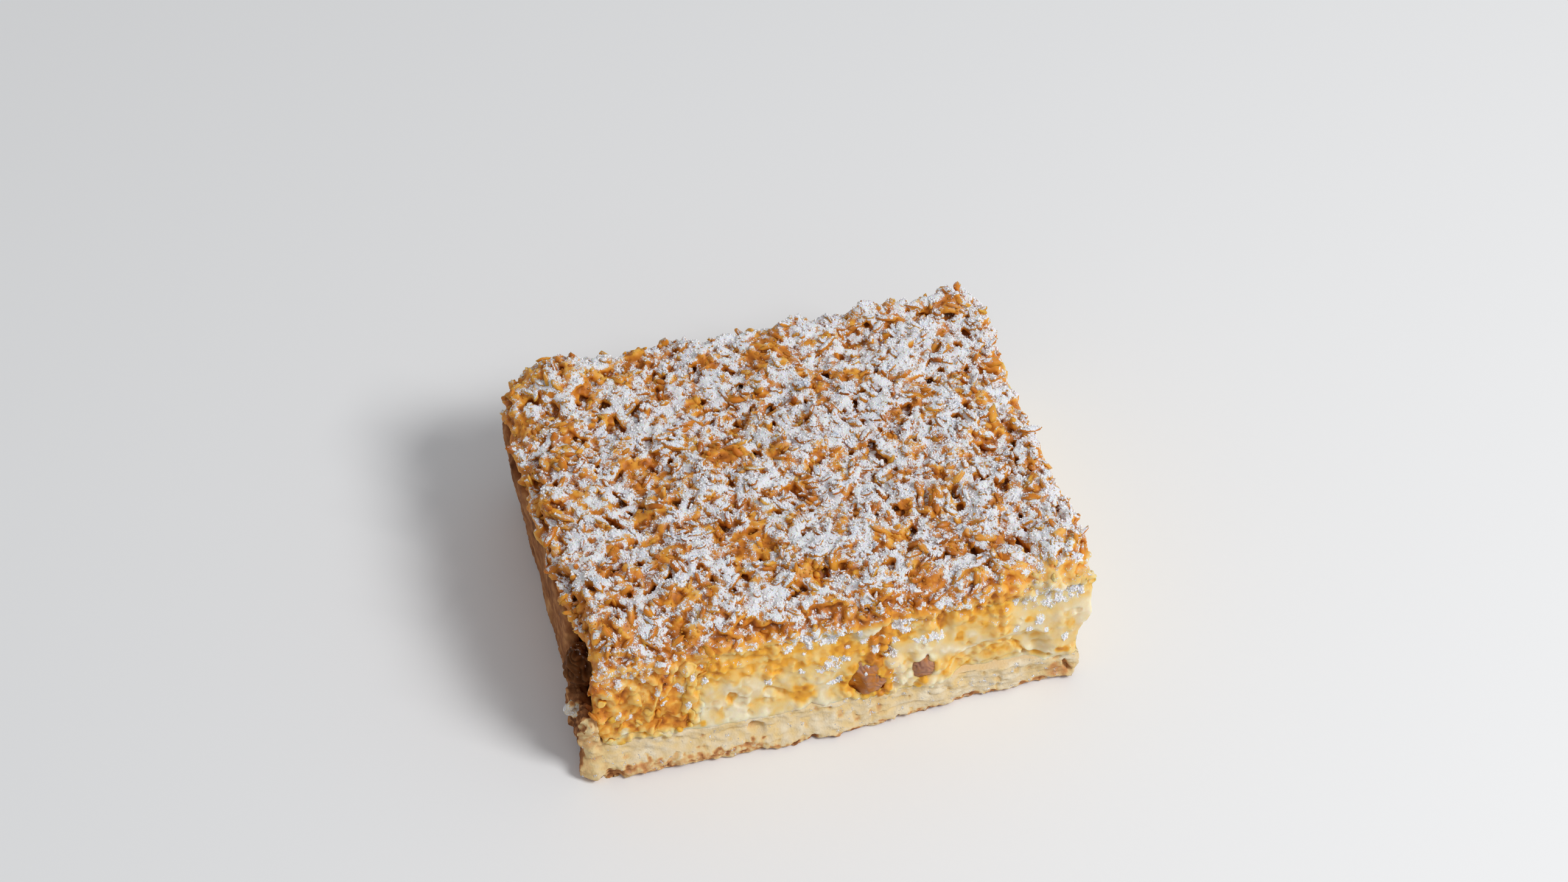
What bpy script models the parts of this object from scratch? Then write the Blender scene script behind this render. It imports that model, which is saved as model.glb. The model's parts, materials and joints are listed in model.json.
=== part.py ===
"""A slice of cheese pie, cut from the corner of a baking tray. Lengths are in metres, Z is up.

The left and back sides stood against the tray, so they keep a baked pastry wall. The front and right sides are cuts.
From the bottom up the slice holds a pastry crust, a thick curd cheese filling with dried fruit, and a rough topping
of grated dough. The topping has sunk through the filling at the front left corner.
"""

import math

import bmesh
import bpy
from mathutils import Matrix, Vector, noise

# Driving dimensions
SLICE_WIDTH = 0.0905  # along X, the long cut
SLICE_DEPTH = 0.0715  # along Y
SLICE_HEIGHT = 0.0290  # to the middle level of the topping's rough top
BASE_THICKNESS = 0.0060
WALL_THICKNESS = 0.0028
WALL_HEIGHT = 0.0220
TRAY_CORNER_RADIUS = 0.0090
CUT_CORNER_RADIUS = 0.0030
FRONT_LEAN = 0.0022  # how far the front cut leans back by the time it reaches the top
RIGHT_SPREAD = 0.0024  # how far the slice bulges out of the right cut at the front
FIT_GAP = 0.0003  # between pieces that touch
POINT_SPACING = 0.0026  # along the outlines
NOISE_SEED = Vector((3.7, 1.3, 8.1))

# Places worked out from them
LEFT, RIGHT = -SLICE_WIDTH / 2, SLICE_WIDTH / 2
FRONT, BACK = -SLICE_DEPTH / 2, SLICE_DEPTH / 2
FILLING_BOTTOM = BASE_THICKNESS + FIT_GAP
FILLING_TOP = WALL_HEIGHT
TOPPING_BOTTOM = WALL_HEIGHT + FIT_GAP

# Colours of the baked surfaces
PASTRY_COLOUR = (0.72, 0.55, 0.32, 1.0)
CHEESE_COLOUR = (0.86, 0.72, 0.42, 1.0)
TOPPING_COLOUR = (0.62, 0.35, 0.12, 1.0)
SULTANA_COLOUR = (0.36, 0.17, 0.06, 1.0)
RAISIN_COLOUR = (0.10, 0.045, 0.025, 1.0)


def clear_scene():
    for obj in list(bpy.data.objects):
        bpy.data.objects.remove(obj)


def make_material(name, colour, roughness):
    material = bpy.data.materials.new(name)
    material.use_nodes = True
    shader = material.node_tree.nodes["Principled BSDF"]
    shader.inputs["Base Color"].default_value = colour
    shader.inputs["Roughness"].default_value = roughness
    shader.inputs["Metallic"].default_value = 0.0
    return material


def ripple(point, size, height):
    """Smooth unevenness at a point: bumps about size apart, up to about height high or deep."""
    return height * noise.noise(Vector(point) / size + NOISE_SEED)


def smooth_step(value, low, high):
    share = min(1.0, max(0.0, (value - low) / (high - low)))
    return share * share * (3 - 2 * share)


def front_lean(z):
    return FRONT_LEAN * smooth_step(z, 0.009, 0.026)


def right_spread(y):
    """How far the filling and the topping bulge out of the right cut, above the base."""
    return RIGHT_SPREAD * (0.3 + 0.7 * smooth_step(-y, -0.004, 0.018))


def add_object(name, bm, material=None):
    """Turns bm into a named object at the origin. With no material it is a cutter that isn't rendered."""
    mesh = bpy.data.meshes.new(name)
    bm.to_mesh(mesh)
    bm.free()
    obj = bpy.data.objects.new(name, mesh)
    bpy.context.scene.collection.objects.link(obj)
    if material is None:
        obj.hide_render = True
        obj.display_type = "WIRE"
    else:
        mesh.materials.append(material)
        mesh.shade_smooth()
        mesh.set_sharp_from_angle(angle=math.radians(40))
    return obj


def add_boolean(obj, other, operation):
    modifier = obj.modifiers.new(f"{operation}_{other.name}", "BOOLEAN")
    modifier.operation = operation
    modifier.object = other


def rounded_outline(left, right, front, back, radii):
    """Points round a rectangle, counter-clockwise from the front left, with a radius for each corner."""
    corners = (
        (left, front, radii["front_left"], 180),
        (right, front, radii["front_right"], 270),
        (right, back, radii["back_right"], 0),
        (left, back, radii["back_left"], 90),
    )
    arcs = []
    for x, y, radius, start in corners:
        centre_x = x + math.copysign(radius, -x)
        centre_y = y + math.copysign(radius, -y)
        steps = max(2, round(radius * math.pi / 2 / POINT_SPACING))
        angles = [math.radians(start + 90 * i / steps) for i in range(steps + 1)]
        arcs.append([(centre_x + radius * math.cos(a), centre_y + radius * math.sin(a)) for a in angles])
    points = []
    for arc, following in zip(arcs, arcs[1:] + arcs[:1]):
        points += arc
        (x0, y0), (x1, y1) = arc[-1], following[0]
        steps = max(1, round(math.dist((x0, y0), (x1, y1)) / POINT_SPACING))
        points += [(x0 + (x1 - x0) * i / steps, y0 + (y1 - y0) * i / steps) for i in range(1, steps)]
    return points


def outward_normals(outline):
    """For each point of a counter-clockwise outline, the unit vector that points away from the slice."""
    normals = []
    for before, after in zip(outline[-1:] + outline[:-1], outline[1:] + outline[:1]):
        along = Vector((after[0] - before[0], after[1] - before[1])).normalized()
        normals.append(Vector((along.y, -along.x)))
    return normals


def loft(outline, levels, bulge):
    """A closed solid on an outline, with a ring of points at each level and flat ends.
    bulge(x, y, z, normal) says how far the side stands out there, along its normal."""
    bm = bmesh.new()
    normals = outward_normals(outline)
    rings = []
    for z in levels:
        ring = []
        for (x, y), normal in zip(outline, normals):
            out = bulge(x, y, z, normal)
            ring.append(bm.verts.new((x + normal.x * out, y + normal.y * out, z)))
        rings.append(ring)
    for lower, upper in zip(rings, rings[1:]):
        for i in range(len(outline)):
            j = (i + 1) % len(outline)
            bm.faces.new((lower[i], lower[j], upper[j], upper[i]))
    bm.faces.new(list(reversed(rings[0])))
    bm.faces.new(rings[-1])
    bmesh.ops.triangulate(bm, faces=bm.faces)
    return bm


def cutting_prism(name, corners, front, back):
    """A cutter with the given corners in XZ, anticlockwise as seen from the front, that runs from front to back."""
    bm = bmesh.new()
    face = bm.faces.new([bm.verts.new((x, front, z)) for x, z in corners])
    made = bmesh.ops.extrude_face_region(bm, geom=[face])["geom"]
    moved = [v for v in made if isinstance(v, bmesh.types.BMVert)]
    bmesh.ops.translate(bm, verts=moved, vec=(0, back - front, 0))
    bmesh.ops.recalc_face_normals(bm, faces=bm.faces)
    return add_object(name, bm)


# --- The pastry crust: a base, and the wall that stood against the tray ---

CRUST_BEVEL = 0.0012  # the rounded lower edge
CRUST_TOE = 0.0032  # how far the base's foot stands out along the front, towards the left
CORNER_NIB = 0.0016  # the drop of dough that hangs out at the front left corner
WALL_SWELL = 0.0020  # how far the wall bulges where it rose at the back left
BROKEN_FROM, BROKEN_TO = FRONT + 0.0040, FRONT + 0.0150  # the stretch of left wall that has broken away
BROKEN_HEIGHT = 0.0092
STUB_HEIGHT = 0.0130  # what is left of the wall at the front left corner


def crust_bulge(x, y, z, normal):
    """The crust's outside: rounded at the bottom, toes out at the front left and swells at the back left."""
    out = -CRUST_BEVEL * (1 - smooth_step(z, 0.0, 2 * CRUST_BEVEL)) + ripple((x, y, z), 0.009, 0.0007)
    at_front = smooth_step(-normal.y, 0.3, 0.9)
    foot = 1 - 0.8 * smooth_step(z, 0.0012, BASE_THICKNESS)
    out += CRUST_TOE * foot * at_front * smooth_step(-x, -0.036, 0.008)
    near_corner = 1 - smooth_step(math.dist((x, y), (LEFT + 0.002, FRONT)), 0.001, 0.005)
    out += CORNER_NIB * near_corner * (1 - smooth_step(z, 0.002, 0.005))
    at_back_left = 1 - smooth_step(math.dist((x, y), (LEFT, BACK - 0.008)), 0.010, 0.030)
    return out + WALL_SWELL * at_back_left * smooth_step(z, 0.006, 0.019)


def no_bulge(x, y, z, normal):
    return 0.0


def cavity_cutter():
    """What the filling and the cuts take out of the crust. It runs past the front and the right."""
    beyond = 0.030
    radii = dict(front_left=0.001, front_right=0.001, back_right=0.001)
    radii["back_left"] = TRAY_CORNER_RADIUS - WALL_THICKNESS
    outline = rounded_outline(
        LEFT + WALL_THICKNESS, RIGHT + beyond, FRONT - beyond, BACK - WALL_THICKNESS, radii
    )
    return add_object("cavity", loft(outline, (BASE_THICKNESS, WALL_HEIGHT + beyond), no_bulge))


def broken_wall_cutter():
    """Takes the broken stretch out of the left wall, and leaves a stub at the corner. It is seen from the side."""
    bm = bmesh.new()
    top = WALL_HEIGHT + 0.010
    corners = (
        (FRONT - 0.020, STUB_HEIGHT),
        (BROKEN_FROM, STUB_HEIGHT),
        (BROKEN_FROM + 0.0012, BROKEN_HEIGHT + 0.0006),
        ((BROKEN_FROM + BROKEN_TO) / 2, BROKEN_HEIGHT),
        (BROKEN_TO, BROKEN_HEIGHT + 0.0015),
        (BROKEN_TO + 0.0015, WALL_HEIGHT - 0.004),
        (BROKEN_TO + 0.0025, top),
        (FRONT - 0.020, top),
    )
    outer, inner = LEFT - 0.010, LEFT + 0.010
    face = bm.faces.new([bm.verts.new((outer, y, z)) for y, z in corners])
    made = bmesh.ops.extrude_face_region(bm, geom=[face])["geom"]
    moved = [v for v in made if isinstance(v, bmesh.types.BMVert)]
    bmesh.ops.translate(bm, verts=moved, vec=(inner - outer, 0, 0))
    bmesh.ops.recalc_face_normals(bm, faces=bm.faces)
    return add_object("broken_wall", bm)


def make_crust(material):
    radii = dict(front_left=0.002, front_right=CUT_CORNER_RADIUS, back_right=CUT_CORNER_RADIUS)
    radii["back_left"] = TRAY_CORNER_RADIUS
    outline = rounded_outline(LEFT, RIGHT, FRONT, BACK, radii)
    levels = (0.0, 0.0012, 0.0028, BASE_THICKNESS - 0.0010, 0.0105, 0.0150, 0.0190, WALL_HEIGHT)
    crust = add_object("pastry_crust", loft(outline, levels, crust_bulge), material)
    add_boolean(crust, cavity_cutter(), "DIFFERENCE")
    add_boolean(crust, broken_wall_cutter(), "DIFFERENCE")
    return crust


# --- Dried fruit, half sunk in the filling where it shows ---


def make_fruit(name, place, half_size, tilt, material, grow=0.0):
    """A wrinkled dried grape. With grow it is the hollow that it sits in, that much larger all round."""
    wrinkle_size, wrinkle_depth = 0.0022, 0.16
    bm = bmesh.new()
    bmesh.ops.create_icosphere(bm, subdivisions=3, radius=1.0)
    for vert in bm.verts:
        point = Vector([part * half for part, half in zip(vert.co, half_size)])
        point *= 1 + ripple(point + Vector(place), wrinkle_size, wrinkle_depth)
        vert.co = point + vert.co.normalized() * grow
    turn = Matrix.Rotation(tilt, 4, "Y")
    bmesh.ops.transform(bm, matrix=Matrix.Translation(place) @ turn, verts=bm.verts)
    return add_object(name, bm, material)


FRONT_FRUIT = FRONT + 0.0006  # the middle of a fruit that the front cut lays bare
FRUIT = {
    "sultana_large": ((0.0055, FRONT_FRUIT, 0.0105), (0.0040, 0.0026, 0.0036), math.radians(25)),
    "sultana_small": ((0.0160, FRONT_FRUIT + 0.0008, 0.0108), (0.0024, 0.0024, 0.0036), math.radians(-10)),
    "raisin_left": ((LEFT + 0.0023, FRONT + 0.0114, 0.0148), (0.0028, 0.0032, 0.0034), 0.0),
}

# --- The curd cheese filling ---

POCKET_PLACE = (0.0085, FRONT - 0.0012, 0.0172)  # a torn pocket in the front cut, over the large sultana
POCKET_HALF_SIZE = (0.0042, 0.0042, 0.0052)
LOBE_DEPTH = 0.0072  # how far back from the front the sunken topping goes
LOBE_PROUD = 0.0006  # how far it stands out of the front cut
LOBE_EDGE = (  # its lower edge as seen from the front: how far from the left, and how high
    (0.0031, 0.0088),
    (0.0048, 0.0078),
    (0.0068, 0.0086),
    (0.0094, 0.0092),
    (0.0122, 0.0084),
    (0.0150, 0.0075),
    (0.0178, 0.0076),
    (0.0197, 0.0092),
    (0.0206, 0.0118),
    (0.0201, 0.0152),
    (0.0212, 0.0190),
    (0.0236, 0.0240),
    (0.0031, 0.0240),
)


def filling_bulge(x, y, z, normal):
    """The filling's cut sides are lumpy and lean back under the topping. Its other sides follow the wall."""
    at_front = smooth_step(-normal.y, 0.3, 0.9)
    at_right = smooth_step(normal.x, 0.3, 0.9)
    cut = max(at_front, at_right)
    lumps = ripple((x, y, z), 0.0060, 0.0012) + ripple((x, y, z), 0.0030, 0.0005)
    spread = right_spread(y) * smooth_step(z, 0.008, 0.018) * at_right
    return cut * (lumps + spread - 0.0004) - front_lean(z) * at_front - (1 - cut) * 0.0002


def lobe_corners(grow):
    """The sunken topping as seen from the front. With grow it is the hollow that it has made in the filling."""
    points = [Vector((LEFT + x, z)) for x, z in LOBE_EDGE]
    corners = []
    for before, point, after in zip(points[-1:] + points[:-1], points, points[1:] + points[:1]):
        arriving = (point - before).normalized()
        leaving = (after - point).normalized()
        outward = Vector((arriving.y + leaving.y, -arriving.x - leaving.x)).normalized()
        turn = outward.dot(Vector((arriving.y, -arriving.x)))
        corners.append(point + outward * grow / turn)
    return corners


def make_filling(material):
    inset = WALL_THICKNESS + FIT_GAP
    radii = dict(front_left=0.0015, front_right=CUT_CORNER_RADIUS, back_right=CUT_CORNER_RADIUS)
    radii["back_left"] = TRAY_CORNER_RADIUS - WALL_THICKNESS
    outline = rounded_outline(LEFT + inset, RIGHT, FRONT, BACK - inset, radii)
    steps = 7
    height = FILLING_TOP - FILLING_BOTTOM
    levels = [FILLING_BOTTOM + height * i / steps for i in range(steps + 1)]
    filling = add_object("cheese_filling", loft(outline, levels, filling_bulge), material)
    reach = 0.010
    hollow = cutting_prism("lobe_hollow", lobe_corners(FIT_GAP), FRONT - reach, FRONT + LOBE_DEPTH + FIT_GAP)
    add_boolean(filling, hollow, "DIFFERENCE")
    pocket = make_fruit("pocket", POCKET_PLACE, POCKET_HALF_SIZE, math.radians(15), None)
    add_boolean(filling, pocket, "DIFFERENCE")
    for name, (place, half_size, tilt) in FRUIT.items():
        add_boolean(filling, make_fruit(f"{name}_hollow", place, half_size, tilt, None, FIT_GAP), "DIFFERENCE")
    return filling


# --- The topping of grated dough ---

OVERHANG = 0.0006
LEFT_TAPER = 0.0030  # how far the topping draws in along the left side, towards the front
SHOULDER = 0.0020  # how far the topping's edge is rounded back at its top
GRID_COLUMNS, GRID_ROWS = 42, 33
PEAKS = (  # place in X and Y, radius and height of the lumps that stand highest along the back
    (0.0230, BACK - 0.002, 0.0050, 0.0022),
    (0.0300, BACK - 0.002, 0.0040, 0.0014),
    (0.0395, BACK - 0.003, 0.0060, 0.0024),
    (-0.0350, BACK - 0.004, 0.0090, 0.0024),
)


def topping_height(x, y):
    """The rough top: coarse swells, lumps the size of dough shreds, and a few peaks at the back edge."""
    z = SLICE_HEIGHT + ripple((x, y, 0.0), 0.014, 0.0010) + ripple((x, y, 0.1), 0.0052, 0.0016)
    for peak_x, peak_y, radius, height in PEAKS:
        z += height * (1 - smooth_step(math.dist((x, y), (peak_x, peak_y)), 0.0, radius))
    at_front_left = 1 - smooth_step(math.dist((x, y), (LEFT, FRONT)), 0.0, 0.016)
    return z - 0.0014 * at_front_left


def rounded_place(u, v, radii):
    """Where a point of a unit grid lies on the slice, with the corners of the grid drawn in to round ones."""
    x, y = LEFT + (RIGHT - LEFT) * u, FRONT + (BACK - FRONT) * v
    side = "left" if x < 0 else "right"
    end = "front" if y < 0 else "back"
    radius = radii[f"{end}_{side}"]
    centre_x = (LEFT + radius) if x < 0 else (RIGHT - radius)
    centre_y = (FRONT + radius) if y < 0 else (BACK - radius)
    across = (x - centre_x) * math.copysign(1, x) / radius
    along = (y - centre_y) * math.copysign(1, y) / radius
    if across > 0 and along > 0:
        pull = max(across, along) / math.hypot(across, along)
        x = centre_x + (x - centre_x) * pull
        y = centre_y + (y - centre_y) * pull
    x += LEFT_TAPER * smooth_step(-y, 0.004, 0.030) * (1 - u)
    y += FRONT_LEAN * (1 - v)
    return x, y


def topping_slab():
    """The topping as a grid with a rough top, whose edge is folded down and closed with a flat underside."""
    radii = dict(front_left=0.005, front_right=0.006, back_right=0.005, back_left=0.007)
    bm = bmesh.new()
    grid = []
    for j in range(GRID_ROWS + 1):
        row = []
        for i in range(GRID_COLUMNS + 1):
            x, y = rounded_place(i / GRID_COLUMNS, j / GRID_ROWS, radii)
            row.append((x, y))
        grid.append(row)
    border = [(i, 0) for i in range(GRID_COLUMNS)]
    border += [(GRID_COLUMNS, j) for j in range(GRID_ROWS)]
    border += [(i, GRID_ROWS) for i in range(GRID_COLUMNS, 0, -1)]
    border += [(0, j) for j in range(GRID_ROWS, 0, -1)]
    outline = [grid[j][i] for i, j in border]
    normals = dict(zip(border, outward_normals(outline)))

    def side_point(index, z, out):
        x, y = grid[index[1]][index[0]]
        normal = normals[index]
        out += OVERHANG + (right_spread(y) - OVERHANG) * smooth_step(normal.x, 0.3, 0.9)
        return (x + normal.x * out, y + normal.y * out, z)

    top = {}
    for j in range(GRID_ROWS + 1):
        for i in range(GRID_COLUMNS + 1):
            x, y = grid[j][i]
            z = topping_height(x, y)
            if (i, j) in normals:
                place = side_point((i, j), z - 0.0010, -SHOULDER)
            else:
                place = (x, y, z)
            top[i, j] = bm.verts.new(place)
    for j in range(GRID_ROWS):
        for i in range(GRID_COLUMNS):
            bm.faces.new((top[i, j], top[i + 1, j], top[i + 1, j + 1], top[i, j + 1]))

    upper = [top[index] for index in border]
    for z, out in ((SLICE_HEIGHT - 0.0032, 0.0), (TOPPING_BOTTOM, -0.0010)):
        lower = []
        for index in border:
            x, y = grid[index[1]][index[0]]
            lower.append(bm.verts.new(side_point(index, z, out + ripple((x, y, z), 0.0050, 0.0009))))
        for k in range(len(border)):
            following = (k + 1) % len(border)
            bm.faces.new((lower[k], lower[following], upper[following], upper[k]))
        upper = lower
    bm.faces.new(list(reversed(upper)))
    bmesh.ops.triangulate(bm, faces=bm.faces)
    return bm


def lumpy_block(left, right, bottom, top):
    """A block round the sunken topping. Its front is the lumpy cut face, its back lies inside the slice."""
    spacing = 0.0019
    columns = round((right - left) / spacing)
    rows = round((top - bottom) / spacing)
    bm = bmesh.new()
    levels = []
    for j in range(rows + 1):
        z = bottom + (top - bottom) * j / rows
        ring = []
        for i in range(columns + 1):
            x = left + (right - left) * i / columns
            y = FRONT - LOBE_PROUD + front_lean(z) + ripple((x, 0.0, z), 0.0042, 0.0022)
            ring.append(bm.verts.new((x, y, z)))
        ring.append(bm.verts.new((right, FRONT + 2 * LOBE_DEPTH, z)))
        ring.append(bm.verts.new((left, FRONT + 2 * LOBE_DEPTH, z)))
        levels.append(ring)
    for lower, upper in zip(levels, levels[1:]):
        for i in range(len(lower)):
            j = (i + 1) % len(lower)
            bm.faces.new((lower[i], lower[j], upper[j], upper[i]))
    bm.faces.new(list(reversed(levels[0])))
    bm.faces.new(levels[-1])
    bmesh.ops.triangulate(bm, faces=bm.faces)
    return bm


def sunken_lobe():
    """The part of the topping that has sunk nearly to the base at the front left."""
    beyond = 0.004
    left = LEFT + min(x for x, z in LOBE_EDGE) - beyond
    right = LEFT + max(x for x, z in LOBE_EDGE) + beyond
    bottom = min(z for x, z in LOBE_EDGE) - beyond
    top = max(z for x, z in LOBE_EDGE) + beyond
    lobe = add_object("sunken_lobe", lumpy_block(left, right, bottom, top))
    edge = cutting_prism("lobe_edge", lobe_corners(0.0), FRONT - LOBE_DEPTH, FRONT + LOBE_DEPTH)
    add_boolean(lobe, edge, "INTERSECT")
    return lobe


def make_topping(material):
    topping = add_object("grated_topping", topping_slab(), material)
    add_boolean(topping, sunken_lobe(), "UNION")
    return topping


# --- The whole slice ---


def centre_on_base(objects):
    """Moves the slice so that the middle of its box stands on the origin."""
    graph = bpy.context.evaluated_depsgraph_get()
    corners = []
    for obj in objects:
        made = obj.evaluated_get(graph)
        corners += [Vector(corner) for corner in made.bound_box]
    middle_x = (min(c.x for c in corners) + max(c.x for c in corners)) / 2
    middle_y = (min(c.y for c in corners) + max(c.y for c in corners)) / 2
    for obj in bpy.context.scene.objects:
        obj.location = (-middle_x, -middle_y, 0.0)


def main():
    clear_scene()
    pieces = [
        make_crust(make_material("baked_pastry", PASTRY_COLOUR, 0.75)),
        make_filling(make_material("curd_cheese", CHEESE_COLOUR, 0.55)),
        make_topping(make_material("baked_shreds", TOPPING_COLOUR, 0.65)),
    ]
    fruit_materials = {
        "sultana_large": make_material("sultana_skin", SULTANA_COLOUR, 0.40),
        "sultana_small": make_material("sultana_skin_dull", SULTANA_COLOUR, 0.50),
        "raisin_left": make_material("raisin_skin", RAISIN_COLOUR, 0.45),
    }
    for name, (place, half_size, tilt) in FRUIT.items():
        pieces.append(make_fruit(name, place, half_size, tilt, fruit_materials[name]))
    centre_on_base(pieces)


main()
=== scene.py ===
"""The looks of a slice of cheese pie: crust, filling, fruit, grated dough and sugar. In metres, Z up."""

import json
import math
import random

import bmesh
import bpy
import numpy as np
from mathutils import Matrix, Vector, noise
from mathutils.bvhtree import BVHTree
from mathutils.kdtree import KDTree

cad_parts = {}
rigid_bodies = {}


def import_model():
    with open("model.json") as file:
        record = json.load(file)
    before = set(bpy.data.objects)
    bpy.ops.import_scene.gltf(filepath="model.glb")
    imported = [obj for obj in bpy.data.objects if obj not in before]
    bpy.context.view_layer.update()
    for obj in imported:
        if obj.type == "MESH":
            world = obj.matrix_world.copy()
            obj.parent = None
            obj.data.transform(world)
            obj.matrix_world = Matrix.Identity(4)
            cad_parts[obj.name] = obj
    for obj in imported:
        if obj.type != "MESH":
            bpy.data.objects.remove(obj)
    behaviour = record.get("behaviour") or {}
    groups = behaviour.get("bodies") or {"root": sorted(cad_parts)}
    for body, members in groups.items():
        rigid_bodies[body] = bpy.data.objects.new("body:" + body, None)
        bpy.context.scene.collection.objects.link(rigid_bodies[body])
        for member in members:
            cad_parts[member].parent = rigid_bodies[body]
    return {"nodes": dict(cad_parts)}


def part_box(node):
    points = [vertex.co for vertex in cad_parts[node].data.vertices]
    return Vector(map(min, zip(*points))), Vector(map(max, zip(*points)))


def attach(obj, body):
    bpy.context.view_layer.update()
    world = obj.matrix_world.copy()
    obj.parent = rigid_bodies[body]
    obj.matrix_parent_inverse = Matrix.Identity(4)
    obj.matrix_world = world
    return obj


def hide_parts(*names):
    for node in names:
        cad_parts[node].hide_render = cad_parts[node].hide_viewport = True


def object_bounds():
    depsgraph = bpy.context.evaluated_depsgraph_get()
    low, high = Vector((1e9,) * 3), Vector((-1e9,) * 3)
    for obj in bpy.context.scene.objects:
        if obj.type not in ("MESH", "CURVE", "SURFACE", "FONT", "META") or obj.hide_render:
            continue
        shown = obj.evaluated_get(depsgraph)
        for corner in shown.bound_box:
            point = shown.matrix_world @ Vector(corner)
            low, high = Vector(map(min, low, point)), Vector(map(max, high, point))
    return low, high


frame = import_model()
cad_low, cad_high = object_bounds()


# The pastry crust: shortcrust that was pressed into the tray and baked under the filling. It is dry and
# crumbly where the knife went through, browned underneath, and brown and nearly smooth where it stood
# against the tray.
MERGE_DISTANCE = 0.000002  # between points of a CAD node that are one point
CRUST_FIRST_VOXEL = 0.0007  # of the remesh before crumbs are stuck on
CRUST_VOXEL = 0.00034  # of the remesh that fuses them
CRUST_FACES = 160000
CUT_REACH = 0.0080  # how far behind the outermost point a point of a cut may lie
WALL_REACH = 0.0070  # the same for the outside of the walls
FADE = 0.0008  # the width in which the front cut's reach fades out
BROWN_HEIGHT = 0.0030  # of the browned skin that shows along the foot of the cut
SEAM_OVERLAP = 0.0009  # how far one layer runs on behind the next, so that no gap shows at the cuts
SEAM_DIP = 0.00022  # how far each layer's cut draws in there
FOOT_CRUMBS = (420, 0.0006, 0.0016, 0.62)  # how many, smallest and largest size, and how deep they are sunk
BROKEN_BITS = (150, 0.0010, 0.0034, 0.40)
BREAK_DEPTH = 0.0035  # of the break in the left wall, from the wall's outside
BREAK_MIDDLE = -0.0300  # its place along Y, and how far it reaches to each side of that
BREAK_REACH = 0.0065
BREAK_FOOT = 0.0050  # the height where it begins
CRUST_HOLLOWS = (  # in the front cut: from and to (x, z), radius and depth
    ((-0.0158, 0.0050), (-0.0144, 0.0047), 0.0012, 0.0012),
    ((-0.0426, 0.0000), (-0.0412, 0.0012), 0.0020, 0.0012),
    ((0.0104, 0.0000), (0.0107, 0.0012), 0.0006, 0.0008),
    ((-0.0050, 0.0000), (-0.0048, 0.0010), 0.0008, 0.0006),
    ((0.0418, 0.0050), (0.0431, 0.0022), 0.0005, 0.0014),
)
CHIP = np.array((-0.0471, -0.0292, 0.0110))  # the middle of a pale chip of pastry in the break
CHIP_SIZE = 0.0034
CRUST_COLOURS = (  # how baked, and the colour of that
    (0.00, (0.800, 0.690, 0.500)),
    (0.10, (0.740, 0.600, 0.390)),
    (0.25, (0.760, 0.560, 0.270)),
    (0.50, (0.600, 0.290, 0.110)),
    (0.75, (0.340, 0.135, 0.050)),
    (1.00, (0.150, 0.055, 0.020)),
)
FRONT_LINE = -0.0350  # where the knife went down at the front
TOE = 0.0032  # how far the foot stands out in front of that, at the left
LEAN = 0.0022  # how far the top leans back behind it
LUMP_HEIGHT = 0.0010  # of the broad lumps of the cuts
CRUMB_SIZE, CRUMB_HEIGHT = 0.0012, 0.00026  # of the crumbs on them
GRIT_SIZE, GRIT_HEIGHT = 0.00055, 0.00012  # of what is finer still
PIT_DEPTH = 0.00028  # of the small holes that dot the cuts
RIDGE_HEIGHT = 0.00006  # how far a point stands out, for each span looked at, where a ridge is full
LUMP_SHAPES = 4  # of every kind of crumb and grain
LUMPS_SEED = 3
SUGAR_COLOUR = (0.965, 0.955, 0.970, 1.0)  # of the thin layer that lies on the baked surfaces
POWDER_ROUGHNESS = 0.9
LIGHT_REACH = 0.0020  # how far light wanders under the surface of dough, curd and fruit
RELIEF_DEPTH = 0.00016


def select_only(piece):
    """Makes a piece the only one selected, and the active one."""
    if bpy.context.mode != "OBJECT":
        bpy.ops.object.mode_set(mode="OBJECT")
    bpy.ops.object.select_all(action="DESELECT")
    piece.select_set(True)
    bpy.context.view_layer.objects.active = piece


def copy_of_node(node, name):
    """A new piece with the CAD node's mesh, its loose triangles merged."""
    piece = bpy.data.objects.new(name, frame["nodes"][node].data.copy())
    piece.data.materials.clear()
    bpy.context.scene.collection.objects.link(piece)
    select_only(piece)
    bpy.ops.object.mode_set(mode="EDIT")
    bpy.ops.mesh.select_all(action="SELECT")
    bpy.ops.mesh.remove_doubles(threshold=MERGE_DISTANCE)
    bpy.ops.object.mode_set(mode="OBJECT")
    return piece


def lift_points(piece, is_moved, rise):
    """Moves the points for which is_moved(place) holds straight up by rise."""
    select_only(piece)
    bpy.ops.object.mode_set(mode="EDIT")
    bpy.ops.mesh.select_all(action="DESELECT")
    bm = bmesh.from_edit_mesh(piece.data)
    for vert in bm.verts:
        vert.select = is_moved(vert.co)
    bm.select_flush_mode()
    bmesh.update_edit_mesh(piece.data)
    bpy.ops.transform.translate(value=(0, 0, rise))
    bpy.ops.object.mode_set(mode="OBJECT")


def apply_modifier(piece, kind, **settings):
    """Adds a modifier with these settings and applies it."""
    select_only(piece)
    modifier = piece.modifiers.new(kind.lower(), kind)
    for key, value in settings.items():
        setattr(modifier, key, value)
    bpy.ops.object.modifier_apply(modifier=modifier.name)


def fuse(piece, voxel):
    """Remeshes all that is joined in a piece into one closed skin."""
    apply_modifier(piece, "REMESH", mode="VOXEL", voxel_size=voxel)


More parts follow.
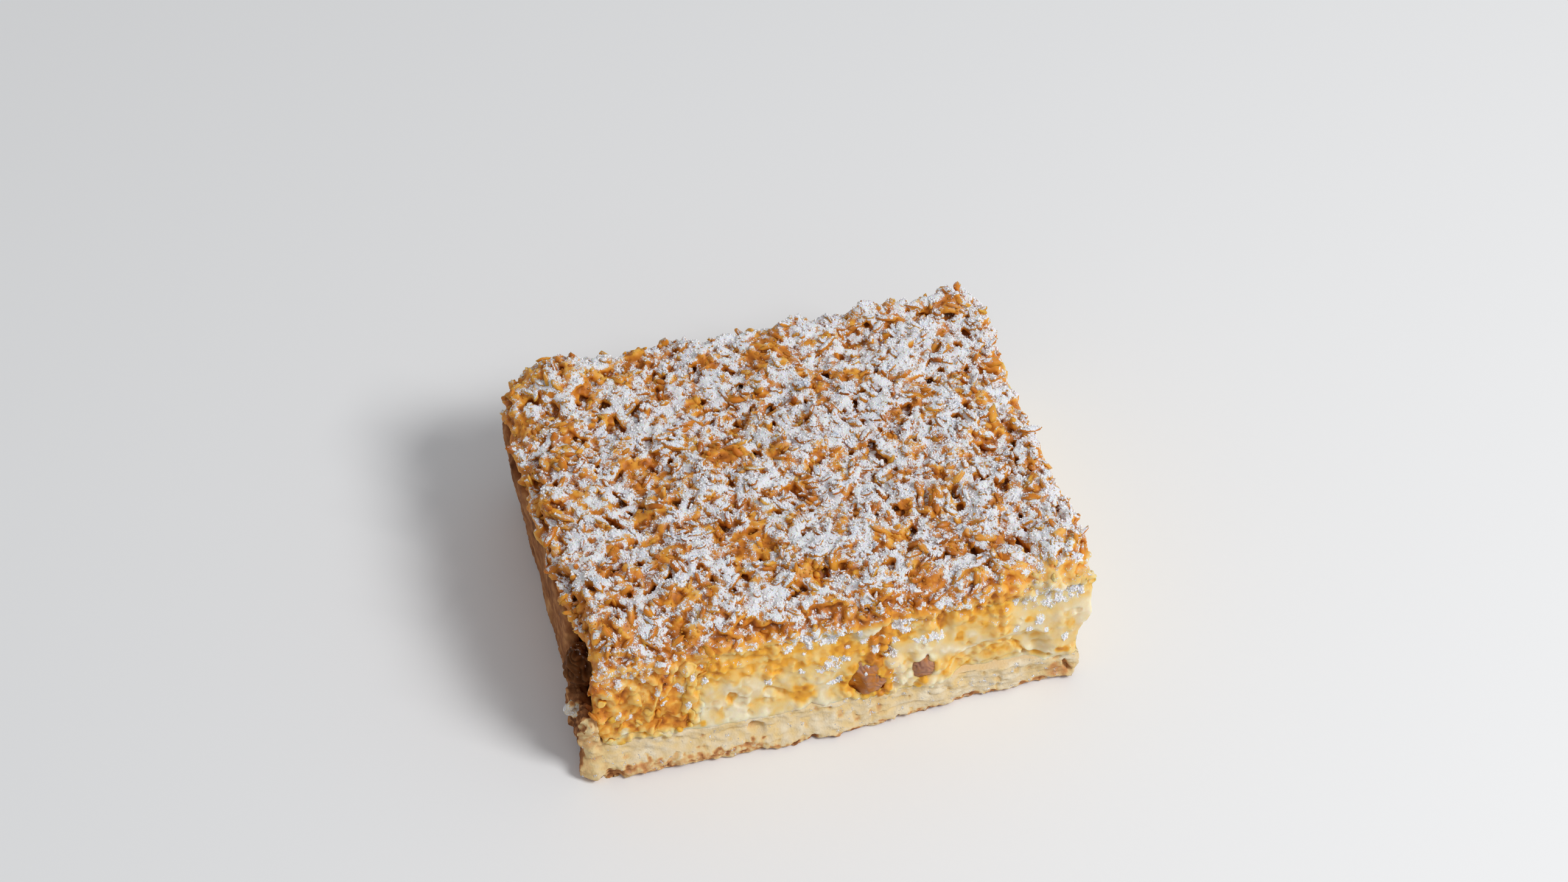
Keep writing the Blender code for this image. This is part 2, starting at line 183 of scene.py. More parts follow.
def roughen(piece, size, height, depth=2, group=""):
    """Raises and lowers the surface by clouds of about that size, in the vertex group or all over."""
    texture = bpy.data.textures.new(f"{piece.name}_clouds", "CLOUDS")
    texture.noise_scale = size
    texture.noise_depth = depth
    settings = dict(texture=texture, texture_coords="LOCAL", mid_level=0.5, vertex_group=group)
    apply_modifier(piece, "DISPLACE", strength=height, **settings)


def thin_out(piece, faces):
    """Takes the triangles that matter least out of a piece, until it has about that many."""
    apply_modifier(piece, "TRIANGULATE")
    apply_modifier(piece, "DECIMATE", ratio=min(1.0, faces / len(piece.data.polygons)))


def points_of(piece):
    points = np.empty(len(piece.data.vertices) * 3)
    piece.data.vertices.foreach_get("co", points)
    return points.reshape(-1, 3)


def normals_of(piece):
    normals = np.empty(len(piece.data.vertices) * 3)
    piece.data.vertex_normals.foreach_get("vector", normals)
    return normals.reshape(-1, 3)


def move_points(piece, points):
    piece.data.vertices.foreach_set("co", points.ravel())
    piece.data.update()


def mark_group(piece, name, weights):
    """A vertex group with a weight for each point, apart from those with next to none."""
    group = piece.vertex_groups.new(name=name)
    for index, weight in enumerate(weights.tolist()):
        if weight > 0.004:
            group.add((index,), weight, "REPLACE")


def mark(piece, name, values):
    """A number from 0 to 1 for each point, which the piece's material reads."""
    attribute = piece.data.attributes.new(name, "FLOAT", "POINT")
    attribute.data.foreach_set("value", np.clip(values, 0.0, 1.0).astype(np.float32))


def grain(points, size, seed=0.0):
    """Smooth noise between about -1 and 1 at each point, with grains of that size."""
    places = points / size + seed
    return np.array([noise.noise(place) for place in places.tolist()])


def ease(values, low, high):
    """0 up to low, 1 from high on, and smooth between them."""
    share = np.clip((values - low) / (high - low), 0.0, 1.0)
    return share * share * (3 - 2 * share)


def wander(points, size, reach):
    """The points, shifted along the front cut by smooth noise, which makes the outline of a patch uneven."""
    shift = np.zeros_like(points)
    shift[:, 0] = reach * grain(points, size, 1.5)
    shift[:, 2] = reach * grain(points, size, 7.5)
    return points + shift


def near_line(points, start, end, radius):
    """1 near the line between two places (x, z) on the front cut, and 0 beyond radius."""
    start = np.array(start)
    along = np.array(end) - start
    from_start = points[:, (0, 2)] - start
    share = np.clip(from_start @ along / (along @ along), 0.0, 1.0)
    return 1 - ease(np.linalg.norm(from_start - share[:, None] * along, axis=1), 0.4 * radius, radius)


def in_patch(points, x, z, half_width, half_height):
    """1 in an oval patch on the front cut, seen from the front, and 0 round it."""
    away = np.hypot((points[:, 0] - x) / half_width, (points[:, 2] - z) / half_height)
    return 1 - ease(away, 0.55, 1.15)


def add_node(tree, kind, settings=(), **sockets):
    """A node with these settings. A socket, named or as n and its number, gets a value or what feeds it."""
    made = tree.nodes.new(kind)
    for key, value in dict(settings).items():
        setattr(made, key, value)
    for key, value in sockets.items():
        socket = made.inputs[int(key[1:])] if key[1:].isdigit() else made.inputs[key.replace("_", " ")]
        if isinstance(value, bpy.types.NodeSocket):
            tree.links.new(value, socket)
        else:
            socket.default_value = value
    return made


def speckle(tree, size, detail=2.0):
    """A noise on the piece's own coordinates, from about -0.5 to 0.5, with spots of that size."""
    place = add_node(tree, "ShaderNodeTexCoord").outputs["Object"]
    pattern = add_node(tree, "ShaderNodeTexNoise", Vector=place, Scale=1 / size, Detail=detail)
    return arithmetic(tree, "SUBTRACT", pattern.outputs["Fac"], 0.5)


def arithmetic(tree, operation, first, second, clamp=False):
    settings = dict(operation=operation, use_clamp=clamp)
    return add_node(tree, "ShaderNodeMath", settings, n0=first, n1=second).outputs[0]


def weighted_sum(tree, *terms):
    """The sum of values, each with its weight."""
    total = None
    for value, weight in terms:
        term = arithmetic(tree, "MULTIPLY", value, weight)
        total = term if total is None else arithmetic(tree, "ADD", total, term)
    return total


def spread(tree, value, low, high, to_low, to_high):
    """A value that runs from low to high, carried over smoothly to the range from to_low to to_high."""
    made = add_node(tree, "ShaderNodeMapRange", dict(interpolation_type="SMOOTHSTEP"), Value=value)
    for name, number in (("From Min", low), ("From Max", high), ("To Min", to_low), ("To Max", to_high)):
        made.inputs[name].default_value = number
    return made.outputs["Result"]


def ramp(tree, factor, stops):
    """A colour that runs through the stops."""
    made = add_node(tree, "ShaderNodeValToRGB", Fac=factor)
    elements = made.color_ramp.elements
    while len(elements) < len(stops):
        elements.new(0.5)
    for element, (place, colour) in zip(elements, stops):
        element.position = place
        element.color = (*colour, 1.0)
    return made.outputs["Color"]


def blend_colours(tree, factor, first, second):
    """The first colour where factor is 0, and the second where it is 1."""
    return add_node(tree, "ShaderNodeMix", dict(data_type="RGBA"), n0=factor, n6=first, n7=second).outputs[2]


def number_of(tree, name):
    """A number that mark() gave each point."""
    return add_node(tree, "ShaderNodeAttribute", dict(attribute_name=name)).outputs["Fac"]


def baked_material(name, colours, roughness, mottle, relief, gloss, translucent=0.0):
    """A baked surface: coloured by how baked it is and by the painted shade and painted highlights that its
    bake number also holds, mottled, and rough with fine relief. Sugar lies on it in clumps and single grains
    wherever its sugar number is high enough, and as a haze round them."""
    material = bpy.data.materials.new(name)
    material.use_nodes = True
    tree = material.node_tree
    shader = tree.nodes["Principled BSDF"]
    mottling = weighted_sum(tree, (speckle(tree, 0.0022, 3.0), mottle), (speckle(tree, 0.0007), mottle * 0.5))
    bake_and_shade = arithmetic(tree, "ADD", number_of(tree, "bake_and_shade"), mottling, clamp=True)
    scatter = weighted_sum(tree, (speckle(tree, 0.0007), 0.9), (speckle(tree, 0.00026, 3.0), 1.1))
    clumps = spread(tree, arithmetic(tree, "ADD", number_of(tree, "sugar"), scatter), 0.45, 0.55, 0.0, 1.0)
    haze = spread(tree, number_of(tree, "sugar"), 0.24, 0.60, 0.0, 0.18)
    sugar = arithmetic(tree, "MAXIMUM", clumps, haze)
    colour = blend_colours(tree, sugar, ramp(tree, bake_and_shade, colours), SUGAR_COLOUR)
    tree.links.new(colour, shader.inputs["Base Color"])
    tree.links.new(spread(tree, sugar, 0.0, 1.0, roughness, POWDER_ROUGHNESS), shader.inputs["Roughness"])
    shader.inputs["Specular IOR Level"].default_value = gloss
    powder = arithmetic(tree, "MULTIPLY", sugar, arithmetic(tree, "ADD", speckle(tree, 0.00022, 3.0), 0.8))
    height = weighted_sum(tree, (speckle(tree, 0.00040, 3.0), relief), (powder, 2.4))
    bump = add_node(tree, "ShaderNodeBump", Strength=0.8, Distance=RELIEF_DEPTH, Height=height)
    tree.links.new(bump.outputs["Normal"], shader.inputs["Normal"])
    if translucent:
        shader.inputs["Subsurface Weight"].default_value = translucent
        shader.inputs["Subsurface Radius"].default_value = (1.0, 0.6, 0.25)
        shader.inputs["Subsurface Scale"].default_value = LIGHT_REACH
    return material


def front_depth(x, z):
    """Where the front cut lies before its lumps: its foot stands out at the left, and its top leans back."""
    toe = TOE * (1 - ease(x, -0.008, 0.036))
    foot = 1 - 0.75 * ease(z, 0.0012, 0.0060) - 0.25 * ease(z, 0.0060, 0.0110)
    return FRONT_LINE - toe * foot + LEAN * ease(z, 0.009, 0.026)


def cut_sides(piece):
    """The points of a piece, and how far each belongs to its front and to its right cut."""
    points, normals = points_of(piece), normals_of(piece)
    front = ease(-normals[:, 1], 0.1, 0.5) * (points[:, 1] < cad_low.y + CUT_REACH)
    right = ease(normals[:, 0], 0.1, 0.5) * (points[:, 0] > cad_high.x - CUT_REACH)
    return points, front, right


def set_on_front(piece, front, reach):
    """Brings what is within reach of the front cut onto it, so that one layer runs on into the next."""
    points = points_of(piece)
    depth = front_depth(points[:, 0], points[:, 2])
    near = front * (1 - ease(np.abs(points[:, 1] - depth), reach, reach + FADE))
    points[:, 1] += near * (depth - points[:, 1])
    move_points(piece, points)


def broad_lumps(flat):
    """The broad soft lumps of a cut, from about -1 to 1, at points that were brought onto one plane."""
    return 0.6 * grain(flat, 0.0068, 3.0) + 0.4 * grain(flat, 0.0028, 2.0)


def tear(piece, front, right, crumbly, crumb_shape=(1.0, 1.0, 1.0)):
    """Gives the cuts their torn surface: broad lumps, the same in every layer, and crumbs where crumbly."""
    points = points_of(piece)
    for share, axis, way in ((front, 1, -1), (right, 0, 1)):
        seen = share > 0
        flat = points[seen]
        flat[:, axis] = 0.0
        small = flat * crumb_shape
        crumbs = CRUMB_HEIGHT * grain(small, CRUMB_SIZE, 4.0) + GRIT_HEIGHT * grain(small, GRIT_SIZE, 6.0)
        rise = LUMP_HEIGHT * broad_lumps(flat) + crumbs * crumbly[seen]
        points[seen, axis] += way * share[seen] * rise
    move_points(piece, points)


def pitted(points):
    """1 in the small holes that the cuts are dotted with, and 0 between them."""
    return ease(grain(points, 0.0017, 11.0), 0.36, 0.52)


def make_lump(roundness, unevenness, seed):
    """The points and faces of a lump about 1 across."""
    bpy.ops.object.select_all(action="DESELECT")
    bpy.ops.mesh.primitive_ico_sphere_add(subdivisions=roundness, radius=0.5, location=(0, 0, 0))
    lump = bpy.context.object
    bpy.ops.object.mode_set(mode="EDIT")
    bpy.ops.mesh.select_all(action="SELECT")
    bpy.ops.transform.vertex_random(offset=unevenness, seed=seed)
    bpy.ops.object.mode_set(mode="OBJECT")
    shape = points_of(lump), np.array([tuple(face.vertices) for face in lump.data.polygons])
    bpy.data.objects.remove(lump)
    return shape


def random_turns(count, rng):
    """Random rotation matrices."""
    quaternions = rng.normal(size=(count, 4))
    w, x, y, z = (quaternions / np.linalg.norm(quaternions, axis=1)[:, None]).T
    first = np.stack((1 - 2 * (y * y + z * z), 2 * (x * y - w * z), 2 * (x * z + w * y)), axis=1)
    second = np.stack((2 * (x * y + w * z), 1 - 2 * (x * x + z * z), 2 * (y * z - w * x)), axis=1)
    third = np.stack((2 * (x * z - w * y), 2 * (y * z + w * x), 1 - 2 * (x * x + y * y)), axis=1)
    return np.stack((first, second, third), axis=1)


def turns_along(normals, rng):
    """Rotation matrices that bring Z nearly onto each normal, turned at random round it."""
    up = normals + 0.35 * rng.normal(size=normals.shape)
    up /= np.linalg.norm(up, axis=1)[:, None]
    ahead = np.cross(up, rng.normal(size=normals.shape))
    ahead /= np.linalg.norm(ahead, axis=1)[:, None]
    return np.stack((ahead, np.cross(up, ahead), up), axis=2)


def new_piece(name, points, faces):
    """A piece with these points and faces."""
    piece = bpy.data.objects.new(name, bpy.data.meshes.new(name))
    piece.data.from_pydata(points.tolist(), [], faces)
    bpy.context.scene.collection.objects.link(piece)
    return piece


def join_to(piece, other):
    """Makes another piece part of this one."""
    select_only(piece)
    other.select_set(True)
    bpy.ops.object.join()


def scattered(name, shapes, places, normals, sizes, sink, rng, least=0.6, most=1.0, lies_flat=False):
    """One piece of many copies of a few shapes, each turned at random and sunk by a share of its size. least
    and most are the shares of its size that it measures, the same for all three ways or one for each."""
    all_points, all_faces, count = [], [], 0
    turns = turns_along(normals, rng) if lies_flat else random_turns(len(places), rng)
    for index, turn in enumerate(turns):
        shape_points, shape_faces = shapes[index % len(shapes)]
        middle = places[index] + normals[index] * sizes[index] * (0.5 - sink)
        all_points.append((shape_points * rng.uniform(least, most, 3) * sizes[index]) @ turn.T + middle)
        all_faces.append(shape_faces + count)
        count += len(shape_points)
    return new_piece(name, np.concatenate(all_points), np.concatenate(all_faces).tolist())


def spots_on(piece, count, chance, rng):
    """Random places on a piece and the normals there. chance(places, normals) is how likely a triangle is."""
    faces = np.array([tuple(face.vertices[:3]) for face in piece.data.polygons])
    corners = points_of(piece)[faces]
    normals = np.cross(corners[:, 1] - corners[:, 0], corners[:, 2] - corners[:, 0])
    double_area = np.maximum(np.linalg.norm(normals, axis=1), 1e-15)
    normals /= double_area[:, None]
    odds = double_area * chance(corners.mean(axis=1), normals)
    chosen = rng.choice(len(odds), size=count, p=odds / odds.sum())
    places = np.einsum("ij,ijk->ik", rng.dirichlet((1, 1, 1), size=count), corners[chosen])
    return places, normals[chosen]


def stick_at(piece, places, normals, sizes, sink, rng, roundness=2):
    """Joins lumps to a piece at these places, for a remesh to fuse. Gives back their middles, their sizes and
    a number from -1 to 1 for each, for its colour. Lumps of roundness 1 are sharp-edged."""
    unevenness = 0.10 if roundness > 1 else 0.22
    shapes = [make_lump(roundness, unevenness, seed) for seed in range(LUMP_SHAPES)]
    join_to(piece, scattered("lumps", shapes, places, normals, sizes, sink, rng))
    return places + normals * (sizes * (0.5 - sink))[:, None], sizes, rng.uniform(-1, 1, len(places))


def stick_on(piece, chance, count, smallest, largest, sink, rng, roundness=2):
    """Joins lumps to a piece at random, most of them small, where chance allows."""
    places, normals = spots_on(piece, count, chance, rng)
    sizes = smallest + (largest - smallest) * rng.beta(1.1, 2.6, count)
    return stick_at(piece, places, normals, sizes, sink, rng, roundness)


def tint_of(points, lumps):
    """For each point the number of the lump that it lies on, and 0 between lumps."""
    middles, sizes, tints = lumps
    tree = KDTree(len(middles))
    for index, middle in enumerate(middles):
        tree.insert(middle, index)
    tree.balance()
    found = [tree.find(point)[1:] for point in points.tolist()]
    nearest = np.array([index for index, away in found])
    distance = np.array([away for index, away in found])
    return tints[nearest] * (1 - ease(distance / sizes[nearest], 0.42, 0.60))


def convexity(piece, spans=2):
    """For each point, how far it stands out from those round it, from -1 in a crease to 1 on a ridge."""
    edges = np.empty(len(piece.data.edges) * 2, dtype=int)
    piece.data.edges.foreach_get("vertices", edges)
    a, b = edges.reshape(-1, 2).T
    points = points_of(piece)
    links = np.bincount(np.concatenate((a, b)), minlength=len(points))[:, None]
    mean = points
    for _ in range(spans):
        total = np.zeros_like(mean)
        for axis in range(3):
            total[:, axis] += np.bincount(a, mean[b, axis], len(points))
            total[:, axis] += np.bincount(b, mean[a, axis], len(points))
        mean = total / np.maximum(links, 1)
    return np.clip(((points - mean) * normals_of(piece)).sum(axis=1) / (RIDGE_HEIGHT * spans), -1, 1)


def crust_sides(piece):
    """How far each point of the crust belongs to the two cuts, the underside and the outside of the walls."""
    points, front, right = cut_sides(piece)
    normals = normals_of(piece)
    under = ease(-normals[:, 2], 0.5, 0.9) * (points[:, 2] < 0.0012)
    at_left = points[:, 0] < cad_low.x + WALL_REACH
    at_back = points[:, 1] > cad_high.y - WALL_REACH
    outer = np.maximum(ease(-normals[:, 0], 0.3, 0.7) * at_left, ease(normals[:, 1], 0.3, 0.7) * at_back)
    return points, front * (1 - under), right * (1 - under), under, outer * (1 - np.maximum(front, right))


crust = copy_of_node("pastry_crust", "baked_crust")
floor_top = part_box("cheese_filling")[0].z
fuse(crust, CRUST_FIRST_VOXEL)
points, normals = points_of(crust), normals_of(crust)
points[:, 2] += SEAM_OVERLAP * ease(normals[:, 2], 0.3, 0.8) * (np.abs(points[:, 2] - floor_top) < 0.0016)
move_points(crust, points)
points, front, right, under, outer = crust_sides(crust)
away_from_corner = ease(points[:, 0], cad_low.x + 0.002, cad_low.x + 0.006)
set_on_front(crust, front * away_from_corner, reach=0.0030)
apply_modifier(crust, "TRIANGULATE")
rng = np.random.default_rng(LUMPS_SEED)


def at_foot(places, normals):
    """1 along the foot of the front cut, and 0 elsewhere."""
    low = places[:, 2] < BROWN_HEIGHT * (1 - 0.5 * ease(places[:, 0], -0.016, -0.008))
    return (normals[:, 1] < -0.5) * low * (places[:, 1] < FRONT_LINE + 0.001) * (places[:, 0] > -0.0420)


def at_break(places):
    """1 on the broken left wall, and 0 elsewhere."""
    along = np.abs(places[:, 1] - BREAK_MIDDLE) < BREAK_REACH
    return (places[:, 0] < cad_low.x + BREAK_DEPTH) * along * (places[:, 2] > BREAK_FOOT)


foot_crumbs = stick_on(crust, at_foot, *FOOT_CRUMBS, rng)
broken_bits = stick_on(crust, lambda places, normals: at_break(places), *BROKEN_BITS, rng, roundness=1)
chip_places = CHIP + CHIP_SIZE * np.array(((0.0, 0.0, 0.0), (0.1, -0.1, 0.4), (0.0, 0.1, -0.4)))
chip_sizes = CHIP_SIZE * np.array((0.95, 0.75, 0.75))
stick_at(crust, chip_places, np.tile((-1.0, 0.0, 0.0), (3, 1)), chip_sizes, 0.5, rng, roundness=1)
fuse(crust, CRUST_VOXEL)
points, front, right, under, outer = crust_sides(crust)
mark_group(crust, "outside", np.maximum(outer, under * 0.6))
roughen(crust, 0.0030, 0.0006, depth=3, group="outside")
roughen(crust, 0.0009, 0.0005, group="outside")
tear(crust, front, right, np.full(len(points), 1.6), crumb_shape=(0.6, 0.6, 1.5))
points, front, right = cut_sides(crust)
dip = SEAM_DIP * ease(points[:, 2], floor_top - 0.0002, floor_top + 0.0008)
dip *= ease(points[:, 0], cad_low.x + 0.0050, cad_low.x + 0.0060)
uneven = wander(points, 0.0012, 0.0003)
for start, end, radius, depth in CRUST_HOLLOWS:
    dip += depth * near_line(uneven, start, end, radius)
dip += PIT_DEPTH * pitted(points)
points[:, 1] += front * dip
points[:, 2] = np.maximum(points[:, 2], 0.0)
move_points(crust, points)
thin_out(crust, CRUST_FACES)
crust.data.shade_smooth()

points, front, right, under, outer = crust_sides(crust)
cut = np.maximum(front, right)
brown_height = BROWN_HEIGHT * (1 - 0.6 * ease(points[:, 0], -0.0145, -0.0115))
edge_of_brown = brown_height * (1 + 0.35 * grain(points, 0.0040) + 0.4 * grain(points, 0.0011))
foot = cut * (1 - ease(points[:, 2], 0.85 * edge_of_brown, edge_of_brown))
foot *= ease(points[:, 0], -0.0428, -0.0418)
in_wall = ease(points[:, 2], 0.0062, 0.0072) * (points[:, 1] > cad_low.y + 0.006) * (1 - right)
uneven_bake = 0.14 * grain(points, 0.005) + 0.14 * grain(points, 0.0016)
# The cuts are painted paler on their ridges, as painted highlights, and darker in their creases and small
# holes, as painted shade.
bake_and_shade = 0.14 + cut * (uneven_bake - 0.08 * convexity(crust, spans=4))
left_end = 1 - ease(points[:, 0], cad_low.x + 0.003, cad_low.x + 0.008)
bake_and_shade += cut * (0.19 * left_end + 0.16 * pitted(points))
foot_bake = 0.37 + 0.34 * tint_of(points, foot_crumbs) + 0.25 * grain(points, 0.0011)
# Along the foot, too, ridges get painted highlights and creases painted shade.
bake_and_shade += foot * (foot_bake - 0.15 * convexity(crust))
browned = np.maximum(outer, in_wall)
bake_and_shade += browned * (0.74 + 0.22 * grain(points, 0.006) + 0.22 * grain(points, 0.0015) - bake_and_shade)
in_chip = 1 - ease(np.linalg.norm(points - CHIP, axis=1), 0.55 * CHIP_SIZE, 0.7 * CHIP_SIZE)
# The broken wall and the bits in its break are painted nearly black-brown: painted shade of the recess there.
broken = at_break(points) * (1 - cut)
bake_and_shade += broken * (0.88 + 0.35 * tint_of(points, broken_bits) - bake_and_shade)
bake_and_shade -= bake_and_shade * in_chip
bake_and_shade += under * (0.52 + 0.25 * grain(points, 0.005) + 0.15 * grain(points, 0.0012))
uneven = wander(points, 0.0012, 0.0003)
# The cracks and holes after the first two are painted dark brown along their lines: painted shade in them.
for start, end, radius, depth in CRUST_HOLLOWS[2:]:
    bake_and_shade += front * near_line(uneven, start, end, radius) * (0.80 - bake_and_shade)
bake_and_shade += front * in_patch(uneven, -0.0151, 0.0048, 0.0016, 0.0011) * (0.36 - bake_and_shade)
bake_and_shade += front * in_patch(uneven, 0.0411, 0.0028, 0.0030, 0.0027) * (0.46 + 0.3 * grain(points, 0.0015) - bake_and_shade)
mark(crust, "bake_and_shade", bake_and_shade)
wall_dust = 0.14 * ease(points[:, 2], 0.010, 0.020) + 0.16 * grain(points, 0.003)
cut_dust = 0.10 + 0.05 * ease(points[:, 0], 0.0, 0.02) + 0.26 * ease(grain(points, 0.0011, 3.0), 0.1, 0.4)
mark(crust, "sugar", outer * wall_dust + cut * cut_dust + 0.52 * in_chip)
shortcrust = baked_material("shortcrust", CRUST_COLOURS, roughness=0.80, mottle=0.25, relief=1.0, gloss=0.10)
crust.data.materials.append(shortcrust)
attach(crust, "root")
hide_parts("pastry_crust")


# The curd filling: fresh curd cheese beaten with egg and sugar, set in the oven. It tears rather than cuts,
# so its cut sides are lumpy, with small hollows, cracks along the base, and a golden band under the topping.
FIRST_VOXEL = 0.0006  # of the first remesh of the filling, and of the topping
FILLING_VOXEL = 0.00032
FILLING_FACES = 190000
FILLING_RISE = 0.0016  # how far the filling runs up into the topping, and down into the base
FILLING_SINK = 0.0007
FILLING_BACK = 0.0013  # how far it runs on to the back, so that no gap shows between it and the wall
# The first stop, paler than the curd, is what ridges of the cut reach as a painted highlight, and a few pale
# bits.
FILLING_COLOURS = (
    (0.00, (0.860, 0.760, 0.550)),
    (0.09, (0.790, 0.640, 0.385)),
    (0.24, (0.830, 0.580, 0.215)),
    (0.45, (0.850, 0.430, 0.042)),
    (0.70, (0.620, 0.230, 0.018)),
    (1.00, (0.160, 0.045, 0.008)),
)
HOLLOWS = (  # in the front cut: from and to (x, z), radius and depth
    ((0.0250, 0.0090), (0.0340, 0.0100), 0.0058, 0.0017),  # wide and shallow, at the right
    ((0.0318, 0.0124), (0.0349, 0.0083), 0.0006, 0.0004),  # its lip
    ((0.0270, 0.0073), (0.0295, 0.0072), 0.0004, 0.0003),  # the crack along the base
    ((0.0295, 0.0072), (0.0345, 0.0078), 0.0008, 0.0003),
    ((0.0345, 0.0078), (0.0388, 0.0072), 0.0008, 0.0007),
    ((-0.0010, 0.0057), (0.0008, 0.0056), 0.0007, 0.0007),
    ((-0.0190, 0.0125), (-0.0175, 0.0110), 0.0013, 0.0006),
    ((-0.0125, 0.0122), (-0.0100, 0.0110), 0.0010, 0.0006),
    ((0.0076, 0.0175), (0.0066, 0.0150), 0.0024, 0.0004),  # the torn pocket over the large sultana
    ((0.0185, 0.0235), (0.0200, 0.0180), 0.0014, 0.0006),  # a gap under the topping
)
CURD_LUMPS = (420, 0.0018, 0.0044, 0.80)  # how many, smallest and largest size, and how deep they are sunk
GOLDEN_LUMPS = (380, 0.0013, 0.0046, 0.70)
RING_LUMPS = 16  # of curd, round each sultana
LOBE_EDGE = -0.0270  # the right edge of the sunken topping
LOBE_CORNER = -0.0280  # where the lumps along its foot end
LOBE_FOOT = 0.0078  # the height of its foot
EDGE_LUMPS, FOOT_LUMPS = 12, 9  # of curd, along that edge and along that foot
BITS = (  # crumbs and curd that lie loose in the front cut: place (x, z), size, and how golden or brown
    (0.0093, 0.0214, 0.0026, 0.62),
    (0.0124, 0.0206, 0.0024, 0.50),
    (0.0068, 0.0196, 0.0022, 0.68),
    (0.0084, 0.0176, 0.0022, 0.60),
    (0.0062, 0.0164, 0.0020, 0.72),
    (0.0089, 0.0158, 0.0018, 0.46),
    (0.0070, 0.0145, 0.0020, 0.66),
    (0.0104, 0.0139, 0.0036, 0.12),
    (0.0084, 0.0128, 0.0020, 0.40),
    (0.0072, 0.0127, 0.0018, 0.60),
    (0.0090, 0.0106, 0.0027, 0.52),
    (0.0112, 0.0118, 0.0028, 0.06),
    (0.0118, 0.0092, 0.0026, 0.05),
    (0.0108, 0.0078, 0.0016, 0.12),
    (0.0155, 0.0086, 0.0018, 0.46),
    (0.0131, 0.0122, 0.0022, 0.14),
    (0.0146, 0.0068, 0.0016, 0.44),
    (0.0176, 0.0232, 0.0030, 0.36),
    (0.0166, 0.0206, 0.0024, 0.30),
    (0.0214, 0.0225, 0.0022, 0.40),
    (0.0087, 0.0195, 0.0026, 0.64),
    (0.0060, 0.0130, 0.0024, 0.70),
    (0.0080, 0.0120, 0.0022, 0.50),
    (0.0044, 0.0130, 0.0020, 0.26),
    (0.0020, 0.0124, 0.0018, 0.46),
    (0.0034, 0.0140, 0.0018, 0.56),
    (0.0092, 0.0124, 0.0020, 0.62),
    (0.0076, 0.0066, 0.0020, 0.68),
    (0.0090, 0.0080, 0.0020, 0.60),
    (0.0102, 0.0070, 0.0020, 0.14),
    (0.0016, 0.0084, 0.0016, 0.30),
    (0.0132, 0.0078, 0.0016, 0.10),
    (0.0180, 0.0112, 0.0016, 0.34),
    (-0.0420, 0.0172, 0.0026, 0.32),
    (-0.0362, 0.0171, 0.0028, 0.34),
    (-0.0340, 0.0132, 0.0024, 0.34),
    (-0.0310, 0.0150, 0.0022, 0.52),
    (-0.0405, 0.0128, 0.0022, 0.40),
)
GOLD_FROM = (  # along the front cut: x, and the height where the golden band under the topping begins
    (-0.0460, 0.0070),
    (-0.0380, 0.0075),
    (-0.0300, 0.0085),
    (-0.0262, 0.0115),
    (-0.0235, 0.0155),
    (-0.0205, 0.0174),
    (-0.0170, 0.0166),
    (-0.0070, 0.0142),
    (0.0025, 0.0142),
    (0.0080, 0.0165),
    (0.0150, 0.0190),
    (0.0280, 0.0180),
    (0.0330, 0.0205),
    (0.0450, 0.0255),
)
GOLD_FROM_RIGHT = 0.0215  # the height where it begins on the right cut
PALE_FROM, PALE_TO = (0.0043, 0.0217), (0.0093, 0.0256)  # the ends of a strand that stayed pale
